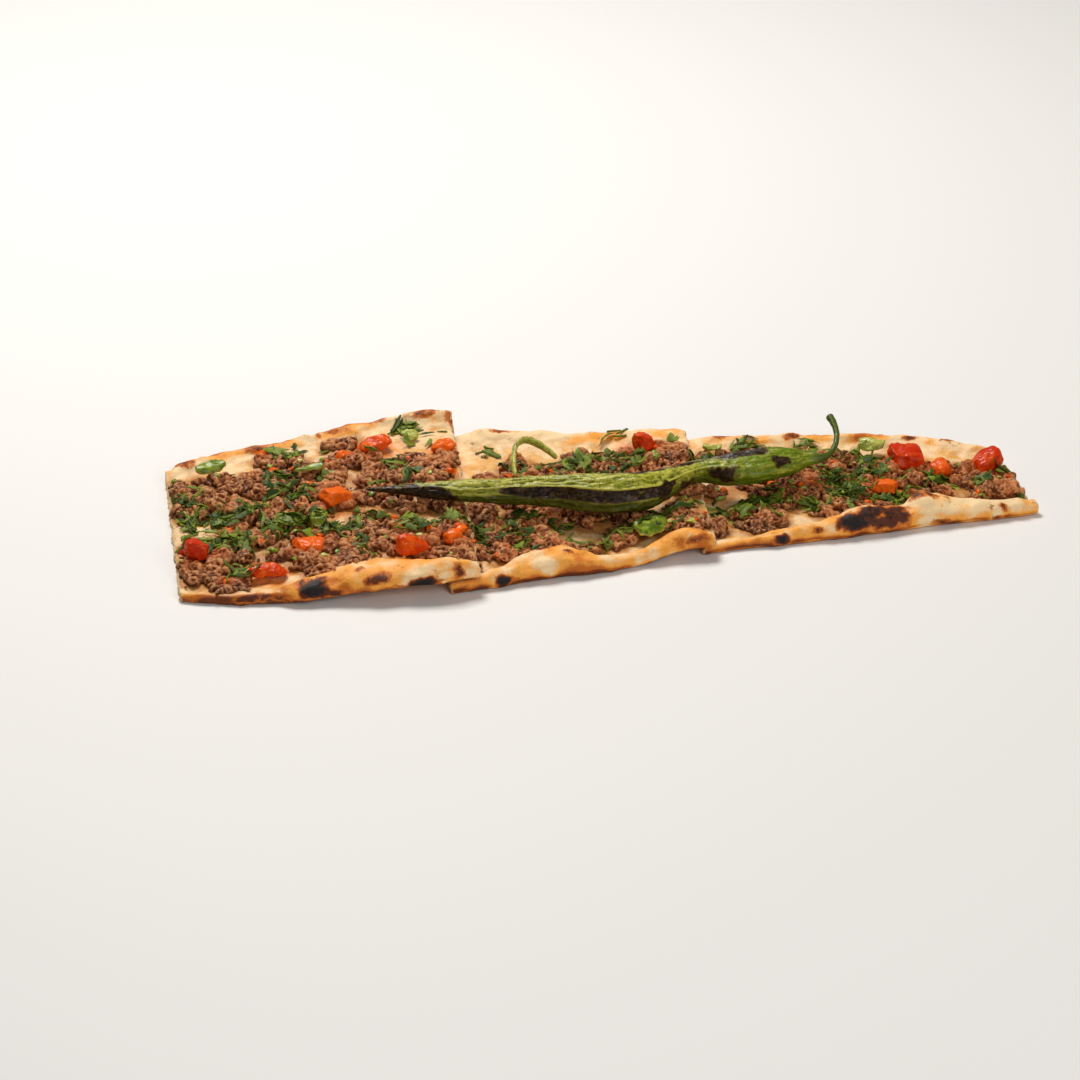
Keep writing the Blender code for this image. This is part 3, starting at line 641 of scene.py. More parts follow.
def tomato_finish(look):
    """Cooked tomato: wet red to orange flesh with pale veins and a tight skin."""
    f = Finish("cooked_tomato")
    cloudy = f.noise(3.4, 4, distortion=0.6)
    orange = f.plus(f.painted("orange"), f.noise(5.0, 4, distortion=0.4), 1.2)
    colour = f.mix(f.band(orange, 0.15, 0.85), look.tomato_colour, look.orange_colour)
    veins = f.band(f.noise(2.0, 5, stretch=(1.0, 0.4, 1.0), distortion=1.2), 0.58, 0.7, 0.0, 0.5)
    colour = f.mix(f.times(veins, f.painted("flesh")), colour, look.vein_colour)
    # Painted shade darkens the creases of the flesh.
    crease = f.plus(f.painted("crease"), cloudy, 0.4)
    colour = f.mix(f.band(crease, 0.56, 0.95, 0.0, 0.8), colour, look.deep_shade_colour)
    f.colour(colour)
    f.roughness(f.band(f.noise(1.8, 3), 0.3, 0.7, 0.25, 0.5))
    f.bump(f.plus(cloudy, f.noise(0.8, 3), 0.5), 0.4)
    f.set(Subsurface_Weight=0.05, Subsurface_Scale=0.002, Specular_IOR_Level=0.06)
    f.set(Coat_Weight=0.16, Coat_Roughness=0.09)
    f.set(Subsurface_Radius=(1.0, 0.22, 0.1))
    return f.material


def green_finish(look):
    """Strips of green pepper: glossy skin outside, pale flesh on the cut sides."""
    f = Finish("cooked_green_pepper")
    cloudy = f.noise(4.0, 3)
    skin = f.mix(f.band(cloudy, 0.35, 0.65), look.skin_colour, look.bright_colour)
    flesh = f.mix(f.band(f.noise(1.6, 3), 0.4, 0.65), look.flesh_colour, look.bright_colour)
    share = f.plus(f.painted("skin"), f.noise(1.2, 2), 0.3)
    colour = f.mix(f.band(share, 0.3, 0.55), flesh, skin)
    browned = f.plus(f.painted("browned"), f.noise(1.5, 3), 0.6)
    colour = f.mix(f.band(browned, 0.55, 0.95), colour, look.browned_colour)
    f.colour(colour)
    f.roughness(f.band(f.noise(2.0, 3), 0.3, 0.7, 0.2, 0.42))
    f.bump(f.plus(cloudy, f.noise(0.9, 3), 0.6), 0.25)
    f.set(Subsurface_Weight=0.06, Subsurface_Scale=0.002, Specular_IOR_Level=0.3)
    f.set(Coat_Weight=0.12, Coat_Roughness=0.15)
    f.set(Subsurface_Radius=(0.5, 1.0, 0.2))
    return f.material


def pepper_finish(look):
    """Grilled pepper skin: glossy yellow-green, wrinkled lengthwise and blackened in places, with painted
    highlights on the raised wrinkles and the ridge, and painted shade in the hollows and on the underside.
    """
    f = Finish("grilled_pepper_skin")
    streaks = f.noise(2.6, 5, stretch=(0.22, 1.0, 1.0), distortion=0.7)
    fine = f.noise(1.2, 4)
    crease = f.plus(f.plus(f.painted("crease"), fine, 0.3), streaks, 0.35)
    colour = f.mix(f.band(streaks, 0.38, 0.64), look.skin_colour, look.pale_skin_and_highlight_colour)
    # Painted highlights on the raised wrinkles.
    colour = f.mix(f.band(crease, 0.46, 0.2, 0.0, 0.75), colour, look.pale_skin_and_highlight_colour)
    # Painted shade in the hollows of the wrinkles.
    colour = f.mix(f.band(crease, 0.54, 0.86, 0.0, 0.85), colour, look.deep_shade_colour)
    # Thin dark lines on the upper skin, in the deep colour, as shaded fine wrinkles.
    cracks = f.noise(4.6, 4, stretch=(1.0, 0.5, 0.5), distortion=1.4)
    cracks = f.band(f.math("ABSOLUTE", f.math("SUBTRACT", cracks, 0.5)), 0.022, 0.004, 0.0, 0.75)
    colour = f.mix(f.times(cracks, f.band(f.painted("below"), 0.5, 0.0)), colour, look.deep_shade_colour)
    # Painted shade on the underside, below the ridge.
    below = f.plus(f.painted("below"), f.noise(7.0, 3), 0.5)
    colour = f.mix(f.band(below, 0.15, 0.85, 0.0, 0.9), colour, look.deep_shade_colour)
    fresh = f.times(f.painted("fresh"), f.band(streaks, 0.7, 0.4, 0.3, 0.85))
    colour = f.mix(fresh, colour, look.fresh_colour)
    # Painted highlight along the ridge.
    ridge = f.plus(f.painted("ridge"), streaks, 0.8)
    colour = f.mix(f.band(ridge, 0.5, 0.9, 0.0, 0.75), colour, look.pale_skin_and_highlight_colour)
    colour = f.mix(f.painted("stalk"), colour, look.stalk_colour)
    burn = f.plus(f.plus(f.painted("burn"), streaks, 0.9), fine, 0.5)
    colour = f.mix(f.band(burn, 0.3, 0.6, 0.0, 0.85), colour, look.singed_colour)
    colour = f.mix(f.band(burn, 0.58, 0.84), colour, look.char_colour)
    flakes = f.noise(2.6, 5, stretch=(0.4, 1.0, 1.0), distortion=1.0)
    brown = f.times(f.band(burn, 0.6, 0.9), f.band(flakes, 0.5, 0.62))
    colour = f.mix(f.times(brown, 0.7), colour, look.singed_colour)
    lifted = f.noise(1.5, 4, stretch=(0.5, 1.0, 1.0))
    ash = f.times(f.band(burn, 0.6, 1.0), f.band(lifted, 0.55, 0.66))
    colour = f.mix(f.times(ash, 0.5), colour, look.ash_colour)
    f.colour(colour)
    f.roughness(f.band(burn, 0.5, 1.0, 0.25, 0.32))
    f.bump(f.plus(streaks, fine, 0.7), 0.45)
    f.set(Subsurface_Weight=0.03, Subsurface_Scale=0.002, Specular_IOR_Level=0.2)
    f.set(Coat_Weight=0.08, Coat_Roughness=0.14)
    f.set(Subsurface_Radius=(0.5, 1.0, 0.2))
    return f.material


def herb_finish(look):
    """Chopped flat parsley: dark green with paler edges."""
    f = Finish("chopped_parsley")
    tone = f.plus(f.painted("tone"), f.noise(2.0, 3), 0.6)
    colour = f.mix(f.band(tone, 0.25, 1.05), look.leaf_colour, look.leaf_light_colour)
    colour = f.mix(f.band(f.painted("rim"), 0.6, 1.0, 0.0, 0.5), colour, look.leaf_light_colour)
    f.colour(colour)
    f.roughness(f.band(f.noise(1.6, 2), 0.3, 0.7, 0.38, 0.58))
    f.bump(f.noise(0.8, 4), 0.2)
    f.set(Subsurface_Weight=0.03, Subsurface_Scale=0.001, Specular_IOR_Level=0.2)
    f.set(Subsurface_Radius=(0.4, 1.0, 0.15))
    return f.material


# ---------------------------------------------------------------- bread


def slice_distances(points, home):
    """How far each point is in from the front edge, the back edge and the nearer cut of its slice."""
    # Where along the pide each point's leaning cross line starts.
    crossing = points[:, 0] - SLICE_LEAN[home] * points[:, 1]
    low, high = crossing.min(), crossing.max()
    margin, step = 7 * MM, 4 * MM
    stops = np.arange(low + margin, high - margin, step)
    front, back = [], []
    for stop in stops:
        row = points[np.abs(crossing - stop) < step / 2, 1]
        front.append(row.min())
        back.append(row.max())
    front_edge = np.interp(crossing, stops, front)
    back_edge = np.interp(crossing, stops, back)
    to_cut = np.minimum(crossing - low, high - crossing)
    return points[:, 1] - front_edge, back_edge - points[:, 1], to_cut


def floor_levels(points, upward, front, back, home):
    """Height of the bread between its rims, under or over every point."""
    crossing = points[:, 0] - SLICE_LEAN[home] * points[:, 1]
    share = front / np.maximum(front + back, 1 * MM)
    middle = (np.abs(share - 0.5) < 0.15) & (upward > 0.6)
    stops = np.arange(crossing.min() + 4 * MM, crossing.max() - 4 * MM, 5 * MM)
    levels = [np.median(points[middle & (np.abs(crossing - stop) < 4 * MM), 2]) for stop in stops]
    return np.interp(crossing, stops, levels)


def blisters(points, rim, normals, seed, count):
    """Small domes raised at random on the rims, and the larger bubbles at their places."""
    rng = np.random.default_rng(seed)
    raised = np.zeros(len(points))
    likely = np.flatnonzero((rim > 0.5) & (normals[:, 2] > -0.4))
    small = []
    for k in rng.choice(likely, count):
        small.append((*(points[k] / MM), rng.uniform(1.4, 4.2), rng.uniform(0.15, 0.5)))
    for x, y, z, radius, height in small + list(BUBBLES):
        away = np.linalg.norm(points / MM - np.array((x, y, z)), axis=1) / radius
        raised = np.maximum(raised, height * np.clip(1 - away * away, 0, 1) ** 1.5)
    return raised


def bread_zones(points, normals, home, depth):
    """How far in each point is from front and back, and its shares of rim, top, cut face and underside."""
    front, back, to_cut = slice_distances(points, home)
    floor = floor_levels(points, normals[:, 2], front, back, home)
    over = (points[:, 2] - floor) / MM
    edge = np.maximum(smooth_step(5.0, 1.5, front / MM), smooth_step(4.0, 1.0, back / MM))
    top = smooth_step(-0.2, 0.3, normals[:, 2])
    rim = np.maximum(smooth_step(0.3, 2.6, over) * top, edge)
    cut = smooth_step(0.45, 0.75, np.abs(normals[:, 0])) * smooth_step(depth, depth - 2.0, to_cut / MM)
    under = smooth_step(-0.5, -0.85, normals[:, 2])
    return front, back, rim, top, cut, under


def shaped_bread(home, look):
    """One slice of bread, with uneven rims, blisters, a wrinkled middle and torn cuts."""
    seed = SLICE_SEED[home]
    mesh = remeshed("bread_" + home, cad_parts["dough_" + home].data, look.grain)
    points = averaged(coordinates(mesh), edge_pairs(mesh), 5)
    place(mesh, points)
    normals = facing(mesh)
    _, _, rim, _, cut, under = bread_zones(points, normals, home, TORN_DEPTH)
    fold = creases(points, (26, 7, 7), seed + 7)
    height = rim * (1.3 * lumps(points, 17, seed) + 0.8 * lumps(points, 6.5, seed + 1) + 0.7 * (fold - 0.7))
    height += rim * blisters(points, rim * (1 - cut), normals, seed, look.blisters)
    wrinkle = creases(points, (7, 9, 9), seed + 2)
    height += (1 - rim) * (0.7 * (wrinkle - 0.6) + 0.45 * lumps(points, 4, seed + 3))
    height += cut * (0.9 * lumps(points, (2, 5, 1.6), seed + 4) - 0.2)
    height *= 1 - under
    place(mesh, kept_inside(points + normals * (height * MM)[:, None]))
    mesh = thinned(mesh, look.most_faces)
    paint_bread(mesh, coordinates(mesh), facing(mesh), home)
    return mesh


def paint_bread(mesh, points, normals, home):
    """Marks where the bread is toasted, burnt, cut, damp, oily or soaked with juice, the creases that take
    painted shade, and a dark line along the foot of the front rim that is partly toast and partly painted
    contact shadow.
    """
    seed = SLICE_SEED[home]
    front, back, rim, top, cut, under = bread_zones(points, normals, home, CRUMB_DEPTH)
    inside = (1 - rim) * top * (1 - cut)
    clouds = 0.6 * lumps(points, 22, seed + 5) + 0.4 * lumps(points, 8, seed + 6)
    near_front = smooth_step(14.0, 5.0, front / MM)
    low_face = smooth_step(0.8, -0.1, normals[:, 2]) * near_front
    toast = rim * (0.28 + clouds) + low_face * (0.22 + 0.8 * clouds)
    toast += 0.75 * smooth_step(5.0, 0.8, back / MM) * (0.6 + 1.2 * clouds)
    for middle, half, extra in DARKER_FRONTS:
        toast += extra * smooth_step(1.4, 0.3, np.abs(points[:, 0] / MM - middle) / half) * rim * near_front
    pale = [smooth_step(-0.3, 0.4, in_ellipse(points[:, 0], points[:, 1], patch)) for patch in PALE_PATCHES]
    toast -= 0.36 * np.max(pale, axis=0)
    # A dark line along the foot of the front rim: partly toast, partly painted contact shadow.
    toast += 0.85 * smooth_step(4.0, 1.2, points[:, 2] / MM) * near_front * (0.8 + clouds)
    toast = toast * (1 - 0.8 * cut) + 0.45 * under
    seam = smooth_step(1.8, 1.0, points[:, 2] / MM) * smooth_step(9.0, 6.0, front / MM) * (1 - under)
    paint(mesh, "toast", toast - 0.7 * seam)
    paint(mesh, "inside", inside)
    paint(mesh, "cut", cut)
    burn = burn_at(points, SCORCHES, seed) * (1 - 0.6 * cut) * (1 - 0.5 * inside) * (1 - 0.5 * seam)
    paint(mesh, "burn", burn)
    paint(mesh, "oil", oil_at(points) * (1 - 0.7 * cut))
    # The crease mask feeds the painted shade in the creases of the crust.
    paint(mesh, "crease", hollows(mesh, 6, 0.5))
    near = nearest_clumps(points, clump_layout(home, bpy.context.scene.pide_meat))[1] / MM
    paint(mesh, "juice", (0.25 + 0.85 * smooth_step(13.0, 5.0, near)) * inside)


def oil_at(points):
    """Orange fat round every piece of tomato, strongest right beside it."""
    oil = np.zeros(len(points))
    for name in TOMATO_RIPENESS:
        low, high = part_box(name)
        centre, reach = (low + high) / 2, (high - low).length / 2 + 5 * MM
        away = np.hypot(points[:, 0] - centre.x, points[:, 1] - centre.y) / reach
        oil = np.maximum(oil, 0.9 * (1 - smooth_step(0.4, 1.3, away)))
    for x, y, radius, _ in TOMATO_SCRAPS:
        away = np.hypot(points[:, 0] / MM - x, points[:, 1] / MM - y) / (radius + 5)
        oil = np.maximum(oil, 0.8 * (1 - smooth_step(0.4, 1.2, away)))
    return oil


# ---------------------------------------------------------------- minced meat

# The clumps of each slice, kept once they are laid out.
_layouts = {}


def clump_layout(home, look):
    """The clumps of one slice as (x, y, bread level, room above it, radius), all in metres."""
    if home in _layouts:
        return _layouts[home]
    rng = np.random.default_rng(SLICE_SEED[home] * 5)
    low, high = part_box("meat_" + home)
    meat = tree_of(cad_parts["meat_" + home].data)
    bread = tree_of(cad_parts["dough_" + home].data)
    step = look.clump_spacing
    clumps = []
    for row, y in enumerate(np.arange(low.y, high.y, step * 0.87)):
        for x in np.arange(low.x + (row % 2) * step / 2, high.x, step):
            x += rng.uniform(-0.34, 0.34) * step
            spot_y = y + rng.uniform(-0.34, 0.34) * step
            size, luck = rng.uniform(0.7, 1.3), rng.uniform(0, 1)
            top, under = height_at([meat], x, spot_y), height_at([bread], x, spot_y)
            if top is None or under is None:
                continue
            bare = max(in_ellipse(x, spot_y, patch) for patch in BARE_PATCHES)
            heap = max(in_ellipse(x, spot_y, patch) for patch in HEAPS)
            cloud = noise.noise((x / (19 * MM), spot_y / (19 * MM), SLICE_SEED[home]))
            cover = look.cover + 0.9 * cloud + 0.8 * max(heap, 0.0)
            if bare > -0.2:
                cover -= 2.2 * bare + 0.7
            if cover < 0.24 + 0.42 * luck:
                continue
            radius = (3.2 + 2.8 * min(cover, 1.0)) * size * MM
            x += kept_on(bread, x, spot_y, radius)
            clumps.append((x, spot_y, under, max(top - under, 2.2 * MM), radius))
    _layouts[home] = clumps
    return clumps


def kept_on(bread, x, y, radius):
    """How far to move a clump sideways so that it doesn't hang over a cut edge."""
    for side in (-1, 1):
        for back_off in range(6):
            move = -side * back_off * MM
            if height_at([bread], x + move + side * radius * 1.4, y) is not None:
                break
        if move:
            return move
    return 0.0


def ball(subdivisions):
    """Points and faces of a ball of radius 1."""
    bm = bmesh.new()
    bmesh.ops.create_icosphere(bm, subdivisions=subdivisions, radius=1.0)
    points = np.array([vert.co for vert in bm.verts])
    faces = np.array([[vert.index for vert in face.verts] for face in bm.faces])
    bm.free()
    return points, faces


def flat_sides(points, seed, sides, nearest):
    """The points of a rounded shape about its middle, cut back by random flat planes."""
    rng = np.random.default_rng(seed)
    for direction in rng.normal(size=(sides, 3)):
        direction /= np.linalg.norm(direction)
        reach = points @ direction
        limit = reach.max() * rng.uniform(nearest, 0.98)
        points = points - np.maximum(reach - limit, 0)[:, None] * direction
    return points


def random_turns(rng, count):
    """Turns spread evenly over all directions, as 3 by 3 arrays."""
    spin = rng.normal(size=(count, 4))
    w, x, y, z = (spin / np.linalg.norm(spin, axis=1, keepdims=True)).T
    return np.stack([
        np.stack([1 - 2 * (y * y + z * z), 2 * (x * y - z * w), 2 * (x * z + y * w)], 1),
        np.stack([2 * (x * y + z * w), 1 - 2 * (x * x + z * z), 2 * (y * z - x * w)], 1),
        np.stack([2 * (x * z - y * w), 2 * (y * z + x * w), 1 - 2 * (x * x + y * y)], 1),
    ], 1)


def copies(shape, centres, sizes, turns):
    """Points and faces of many turned and stretched copies of one shape."""
    points, faces = shape
    stretched = points[None, :, :] * sizes[:, None, :]
    placed = np.einsum("nij,nkj->nki", turns, stretched) + centres[:, None, :]
    shift = (np.arange(len(centres)) * len(points))[:, None, None]
    return placed.reshape(-1, 3), (faces[None, :, :] + shift).reshape(-1, 3)


def grain_places(rng, clumps, bread, look):
    """Middles and sizes of every grain: over each clump, one lump that fills it, and loose ones beside it."""
    centres, sizes = [], []
    for x, y, under, room, radius in clumps:
        height = min(room - 0.6 * MM, radius * rng.uniform(0.65, 1.0))
        lean = rng.uniform(0.8, 1.25)
        count = int(look.grains * (radius / MM) ** 2)
        angle = rng.uniform(0, math.tau, count)
        steep = np.arccos(rng.uniform(0.0, 1.0, count))
        bulge = 1 + 0.2 * np.cos(2 * angle + rng.uniform(0, 6)) + 0.16 * np.cos(3 * angle + rng.uniform(0, 6))
        out = radius * np.sin(steep) * bulge * rng.uniform(0.82, 1.06, count)
        level = under + height * np.cos(steep) * rng.uniform(0.7, 1.0, count)
        centres.append(np.stack([x + out * lean * np.cos(angle), y + out * np.sin(angle), level], 1))
        grain = np.exp(rng.normal(0.15, 0.55, (count, 1))).clip(0.4, 2.6)
        grain = grain * rng.uniform(0.55, 1.35, (count, 3))
        grain[: count // 9] *= 1.6
        sizes.append(grain * look.grain_size / 2)
        centres.append(np.array([[x, y, under + 0.1 * height]]))
        sizes.append(np.array([[radius * 0.9 * lean, radius * 0.9, height * 0.84]]))
        for _ in range(rng.poisson(look.loose)):
            away, turn, wide = radius * rng.uniform(1.1, 1.9), rng.uniform(0, math.tau), rng.uniform(0.7, 1.7)
            shape = rng.uniform(0.55, 1.5, (1, 3))
            spot = (x + away * math.cos(turn), y + away * math.sin(turn))
            lying = height_at([bread], *spot)
            if lying is not None:
                centres.append(np.array([[*spot, lying + 0.3 * look.grain_size * wide]]))
                sizes.append(look.grain_size / 2 * wide * shape)
    return np.concatenate(centres), np.concatenate(sizes)


def crumbled(home, look):
    """Clumps of meat studded with grains and fused where they touch, with loose grains between."""
    rng = np.random.default_rng(SLICE_SEED[home])
    bread = tree_of(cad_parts["dough_" + home].data)
    clumps = clump_layout(home, look)
    centres, sizes = grain_places(rng, clumps, bread, look)
    turns = random_turns(rng, len(centres))
    # The large lumps stay level.
    turns[sizes[:, 0] > 2.8 * MM] = np.eye(3)
    chip, sides = ball(2)
    points, faces = copies((flat_sides(chip, 5, 8, 0.5), sides), centres, sizes, turns)
    rough = mesh_of("grains", points, faces)
    mesh = remeshed("minced_meat_" + home, rough, look.detail)
    bpy.data.meshes.remove(rough)
    points = averaged(coordinates(mesh), edge_pairs(mesh), 2)
    place(mesh, points)
    torn = creases(points, 2.2, 3.0)
    wobble = 0.75 * (torn - 0.45) + 0.45 * lumps(points, 3.0, 4.0) + 0.5 * lumps(points, 6.0, 5.0)
    place(mesh, kept_inside(points + facing(mesh) * (wobble * MM)[:, None]))
    mesh = thinned(mesh, look.most_faces)
    points = coordinates(mesh)
    # The crease mask feeds the painted shade between the grains and the painted highlights on their crests.
    paint(mesh, "crease", hollows(mesh, 6, 0.5))
    paint(mesh, "oil", oil_at(points))
    nearest, _ = nearest_clumps(points, clumps)
    levels = np.array([clump[2] for clump in clumps])
    # Painted shade, partly soaked juice: how low each point lies in its clump, which darkens the meat between
    # the clumps.
    paint(mesh, "low", smooth_step(3.6, 0.4, (points[:, 2] - levels[nearest]) / MM))
    paint(mesh, "tone", rng.uniform(0, 1, len(clumps))[nearest])
    return mesh


def nearest_clumps(points, clumps):
    """For each point, which clump's middle is nearest in plan, and how far off it is."""
    tree = KDTree(len(clumps))
    for k, clump in enumerate(clumps):
        tree.insert((clump[0], clump[1], 0.0), k)
    tree.balance()
    found = [tree.find((x, y, 0.0)) for x, y in points[:, :2].tolist()]
    return np.array([hit[1] for hit in found]), np.array([hit[2] for hit in found])


# ---------------------------------------------------------------- toppings


def topping_trees():
    """What a scrap or a leaf can lie on."""
    names = [kind + home for kind in ("bread_", "minced_meat_") for home in SLICE_LEAN]
    return [tree_of(bpy.data.objects[name].data) for name in names]


def scrap(spot, radius, flatness, seed):
    """A small torn piece of vegetable that rests on whatever lies under it."""
    points, faces = ball(4 if radius > FINER_OVER else 3)
    full = points * radius * MM
    lobes = 1 + 0.35 * lumps(full, radius * 1.1, seed) + 0.12 * lumps(full, radius * 0.4, seed)
    points = flat_sides(points * lobes[:, None], seed, 9, 0.5) * np.array((1.1, 0.7, flatness))
    points[:, 2] += 0.35 * points[:, 1] ** 2 - 0.3 * points[:, 0] ** 2
    turn = seed * 2.4
    swing = np.array(((math.cos(turn), -math.sin(turn), 0), (math.sin(turn), math.cos(turn), 0), (0, 0, 1)))
    return mesh_of("scrap", (points @ swing.T) * radius * MM + np.array(spot), faces)


def scraps(places, flatness, first_seed, trees):
    """A scrap at every place with something under it, as pairs of its mesh and its colour value."""
    made = []
    for k, (x, y, radius, colour) in enumerate(places):
        level = height_at(trees, x * MM, y * MM)
        if level is not None:
            made.append((scrap((x * MM, y * MM, level), radius, flatness, first_seed + k), colour))
    return made


def chopped_bits(count, seed):
    """Where the finely chopped vegetable lies among the meat: (x, y, radius) of every bit."""
    rng = np.random.default_rng(seed)
    bits = []
    for home in SLICE_LEAN:
        clumps = clump_layout(home, bpy.context.scene.pide_meat)
        for k in rng.choice(len(clumps), count):
            x, y, _, _, radius = clumps[k]
            turn = rng.uniform(0, math.tau)
            away = radius * rng.uniform(0.3, 1.0)
            spot = (x + away * math.cos(turn), y + away * math.sin(turn))
            bits.append((spot[0] / MM, spot[1] / MM, rng.uniform(*BIT_RADII)))
    return bits


def soft_dice(name, orange, upright, look):
    """A slumped wedge of tomato with wet, uneven flesh."""
    mesh = remeshed(name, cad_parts[name].data, look.topping_grain)
    points = averaged(coordinates(mesh), edge_pairs(mesh), 3)
    low, high = points.min(axis=0), points.max(axis=0)
    middle, half = (low + high) / 2, (high - low) / 2
    seed = len(name) + orange * 10
    away = np.linalg.norm((points[:, :2] - middle[:2]) / half[:2], axis=1)
    tilt = (points[:, :2] - middle[:2]) / half[:2] @ np.array((math.cos(seed), math.sin(seed)))
    keep = np.clip(upright * (1 - 0.1 * away ** 2 + 0.22 * tilt), 0.4, 1.05)
    points[:, 2] = low[2] + (points[:, 2] - low[2]) * keep
    points = middle + flat_sides(points - middle, len(name) * 7 + 1, 8, 0.66)
    place(mesh, points)
    normals = facing(mesh)
    pulp = creases(points, 3.4, seed + 1)
    height = 1.0 * lumps(points, 7.0, seed) + 0.45 * (pulp - 0.4) + 0.25 * lumps(points, 1.6, seed + 2)
    place(mesh, kept_inside(points + normals * (height * MM)[:, None]))
    mesh = thinned(mesh, look.most_faces)
    normals = facing(mesh)
    # The crease mask feeds the painted shade in the creases of the flesh.
    paint(mesh, "crease", hollows(mesh, 8, 0.5))
    paint(mesh, "orange", orange)
    paint(mesh, "flesh", smooth_step(0.1, 0.6, 1 - np.abs(normals[:, 2])) * 0.6 + 0.4)
    return mesh


def strip_of_pepper(name, look):
    """A folded strip of green pepper, or the thin curl with its scorched bend."""
    mesh = remeshed(name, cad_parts[name].data, look.topping_grain)
    points = averaged(coordinates(mesh), edge_pairs(mesh), 3)
    place(mesh, points)
    normals = facing(mesh)
    height = 0.3 * lumps(points, 3.2, len(name))
    if name == "green_curl":
        height += 0.3
    else:
        height += 0.9 * (creases(points, (9.0, 4.0, 6.0), len(name) + 3) - 0.6)
    points = kept_inside(points + normals * (height * MM)[:, None])
    place(mesh, points)
    if name == "green_curl":
        centre = points.mean(axis=0) - np.array((0.0, 0.0, 3 * MM))
        outward = points - centre
        outward /= np.linalg.norm(outward, axis=1, keepdims=True)
        skin = 0.2 * smooth_step(-0.1, 0.35, (outward * normals).sum(axis=1))
        up = (points[:, 2] - points[:, 2].min()) / np.ptp(points[:, 2])
        browned = 0.7 * smooth_step(0.3, 0.8, normals[:, 2]) * smooth_step(0.35, 0.75, up)
    else:
        skin = smooth_step(-0.1, 0.4, normals[:, 2]) * (1 - GREEN_PALENESS.get(name, USUAL_PALENESS))
        browned = 0.0
    paint(mesh, "skin", skin)
    paint(mesh, "browned", browned)
    return mesh


def pepper_body(look):
    """The whole grilled pepper, its skin drawn into wrinkles and a ridge over the flesh that has shrunk."""
    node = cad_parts["grilled_pepper"].data
    mesh = remeshed("grilled_pepper_whole", node, look.detail)
    points = averaged(coordinates(mesh), edge_pairs(mesh), 4)
    place(mesh, points)
    normals = facing(mesh)
    x = points[:, 0]
    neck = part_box("grilled_pepper")[1].x - PEPPER_NECK * MM
    stops = np.arange(x.min() + 2 * MM, neck, 3 * MM)
    rows = [points[np.abs(x - stop) < 2.5 * MM] for stop in stops]
    middle_y = [(row[:, 1].min() + row[:, 1].max()) / 2 for row in rows]
    middle_z = [(row[:, 2].min() + row[:, 2].max()) / 2 for row in rows]
    radius = np.interp(x, stops, [np.ptp(row[:, 1]) / 2 for row in rows])

    def angle_of(spots):
        """How far round the pepper each place is: 0 at its back, a quarter turn on top, half at its front."""
        across = spots[:, 1] - np.interp(spots[:, 0], stops, middle_y)
        up = spots[:, 2] - np.interp(spots[:, 0], stops, middle_z)
        angle = np.arctan2(up, across)
        return np.where(angle < -math.pi / 2, angle + math.tau, angle)

    ridge, foot = np.array(PEPPER_RIDGE) * MM, np.array(PEPPER_BAND_FOOT) * MM
    angle = angle_of(points)
    drop = angle - np.interp(x, ridge[:, 0], angle_of(ridge))
    band = np.interp(x, foot[:, 0], angle_of(foot)) - np.interp(x, ridge[:, 0], angle_of(ridge))
    body = smooth_step(neck + 4 * MM, neck - 4 * MM, x)
    around = np.stack([x / 6.5, np.cos(angle) * PEPPER_RADIUS * MM, np.sin(angle) * PEPPER_RADIUS * MM], 1)
    fold = creases(around, 2.6, 5)
    across = np.stack([x / 1.2, np.cos(angle) * PEPPER_RADIUS * MM, np.sin(angle) * PEPPER_RADIUS * MM], 1)
    crinkle = creases(across, 4.2, 9)
    slack = np.clip(radius / (PEPPER_RADIUS * MM), 0.25, 1.0) * body
    # The ridge and the hollows on both sides of it fade out towards the stalk.
    fading = smooth_step(0.075, 0.045, x)
    on_ridge = np.exp(-((drop + 0.04 * lumps(points, 9, 3)) / 0.075) ** 2) * fading
    beside = np.exp(-((np.abs(drop) - 0.34) / 0.2) ** 2) * fading
    wrinkles = look.wrinkles / MM
    height = slack * wrinkles * (0.7 * (fold - 0.55) + 0.5 * (crinkle - 0.6) + 1.0 * on_ridge - 0.5 * beside)
    height += slack * 0.5 * lumps(points, 14, 2) + 0.12 * lumps(points, 2.4, 4)
    # The charred band lies between the ridge and its foot, and its two ends are ragged.
    in_band = smooth_step(0.0, 0.12, drop) * smooth_step(band + 0.04, band - 0.16, drop)
    along = x / MM + 7 * lumps(points, 6, 12)
    in_band *= smooth_step(-60.0, -46.0, along) * smooth_step(42.0, 32.0, along)
    height += in_band * (0.6 * lumps(points, (3.6, 1.8, 1.8), 7) - 0.3)
    place(mesh, kept_inside(points + normals * (height * MM)[:, None]))
    # A second charred stretch lies on the back of the pepper.
    on_back = smooth_step(0.3, 0.7, angle) * smooth_step(1.85, 1.5, angle)
    on_back *= smooth_step(0.0, 0.02, x) * smooth_step(0.094, 0.084, x)
    banded = in_band * (1.2 + 0.8 * lumps(points, (8, 3.4, 3.4), 8))
    behind = on_back * (0.95 + 1.1 * lumps(points, (16, 5, 5), 6))
    burn = np.maximum(burn_at(points, PEPPER_SCORCHES, 3), banded)
    paint(mesh, "burn", np.maximum(burn, behind))
    # Painted shade: how far each point lies below the ridge, which darkens the underside.
    paint(mesh, "below", smooth_step(0.15, 1.1, drop - 0.25 * smooth_step(0.06, 0.09, x)) * body)
    # The crease mask feeds the painted shade in the hollows and the painted highlights on the raised
    # wrinkles.
    paint(mesh, "crease", hollows(mesh, 7, 0.4))
    paint(mesh, "fresh", smooth_step(0.044, 0.07, x))
    # Painted highlight along the ridge.
    paint(mesh, "ridge", on_ridge * body)
    paint(mesh, "stalk", smooth_step(neck - 1 * MM, neck + 6 * MM, x))
    return mesh


# ---------------------------------------------------------------- herbs


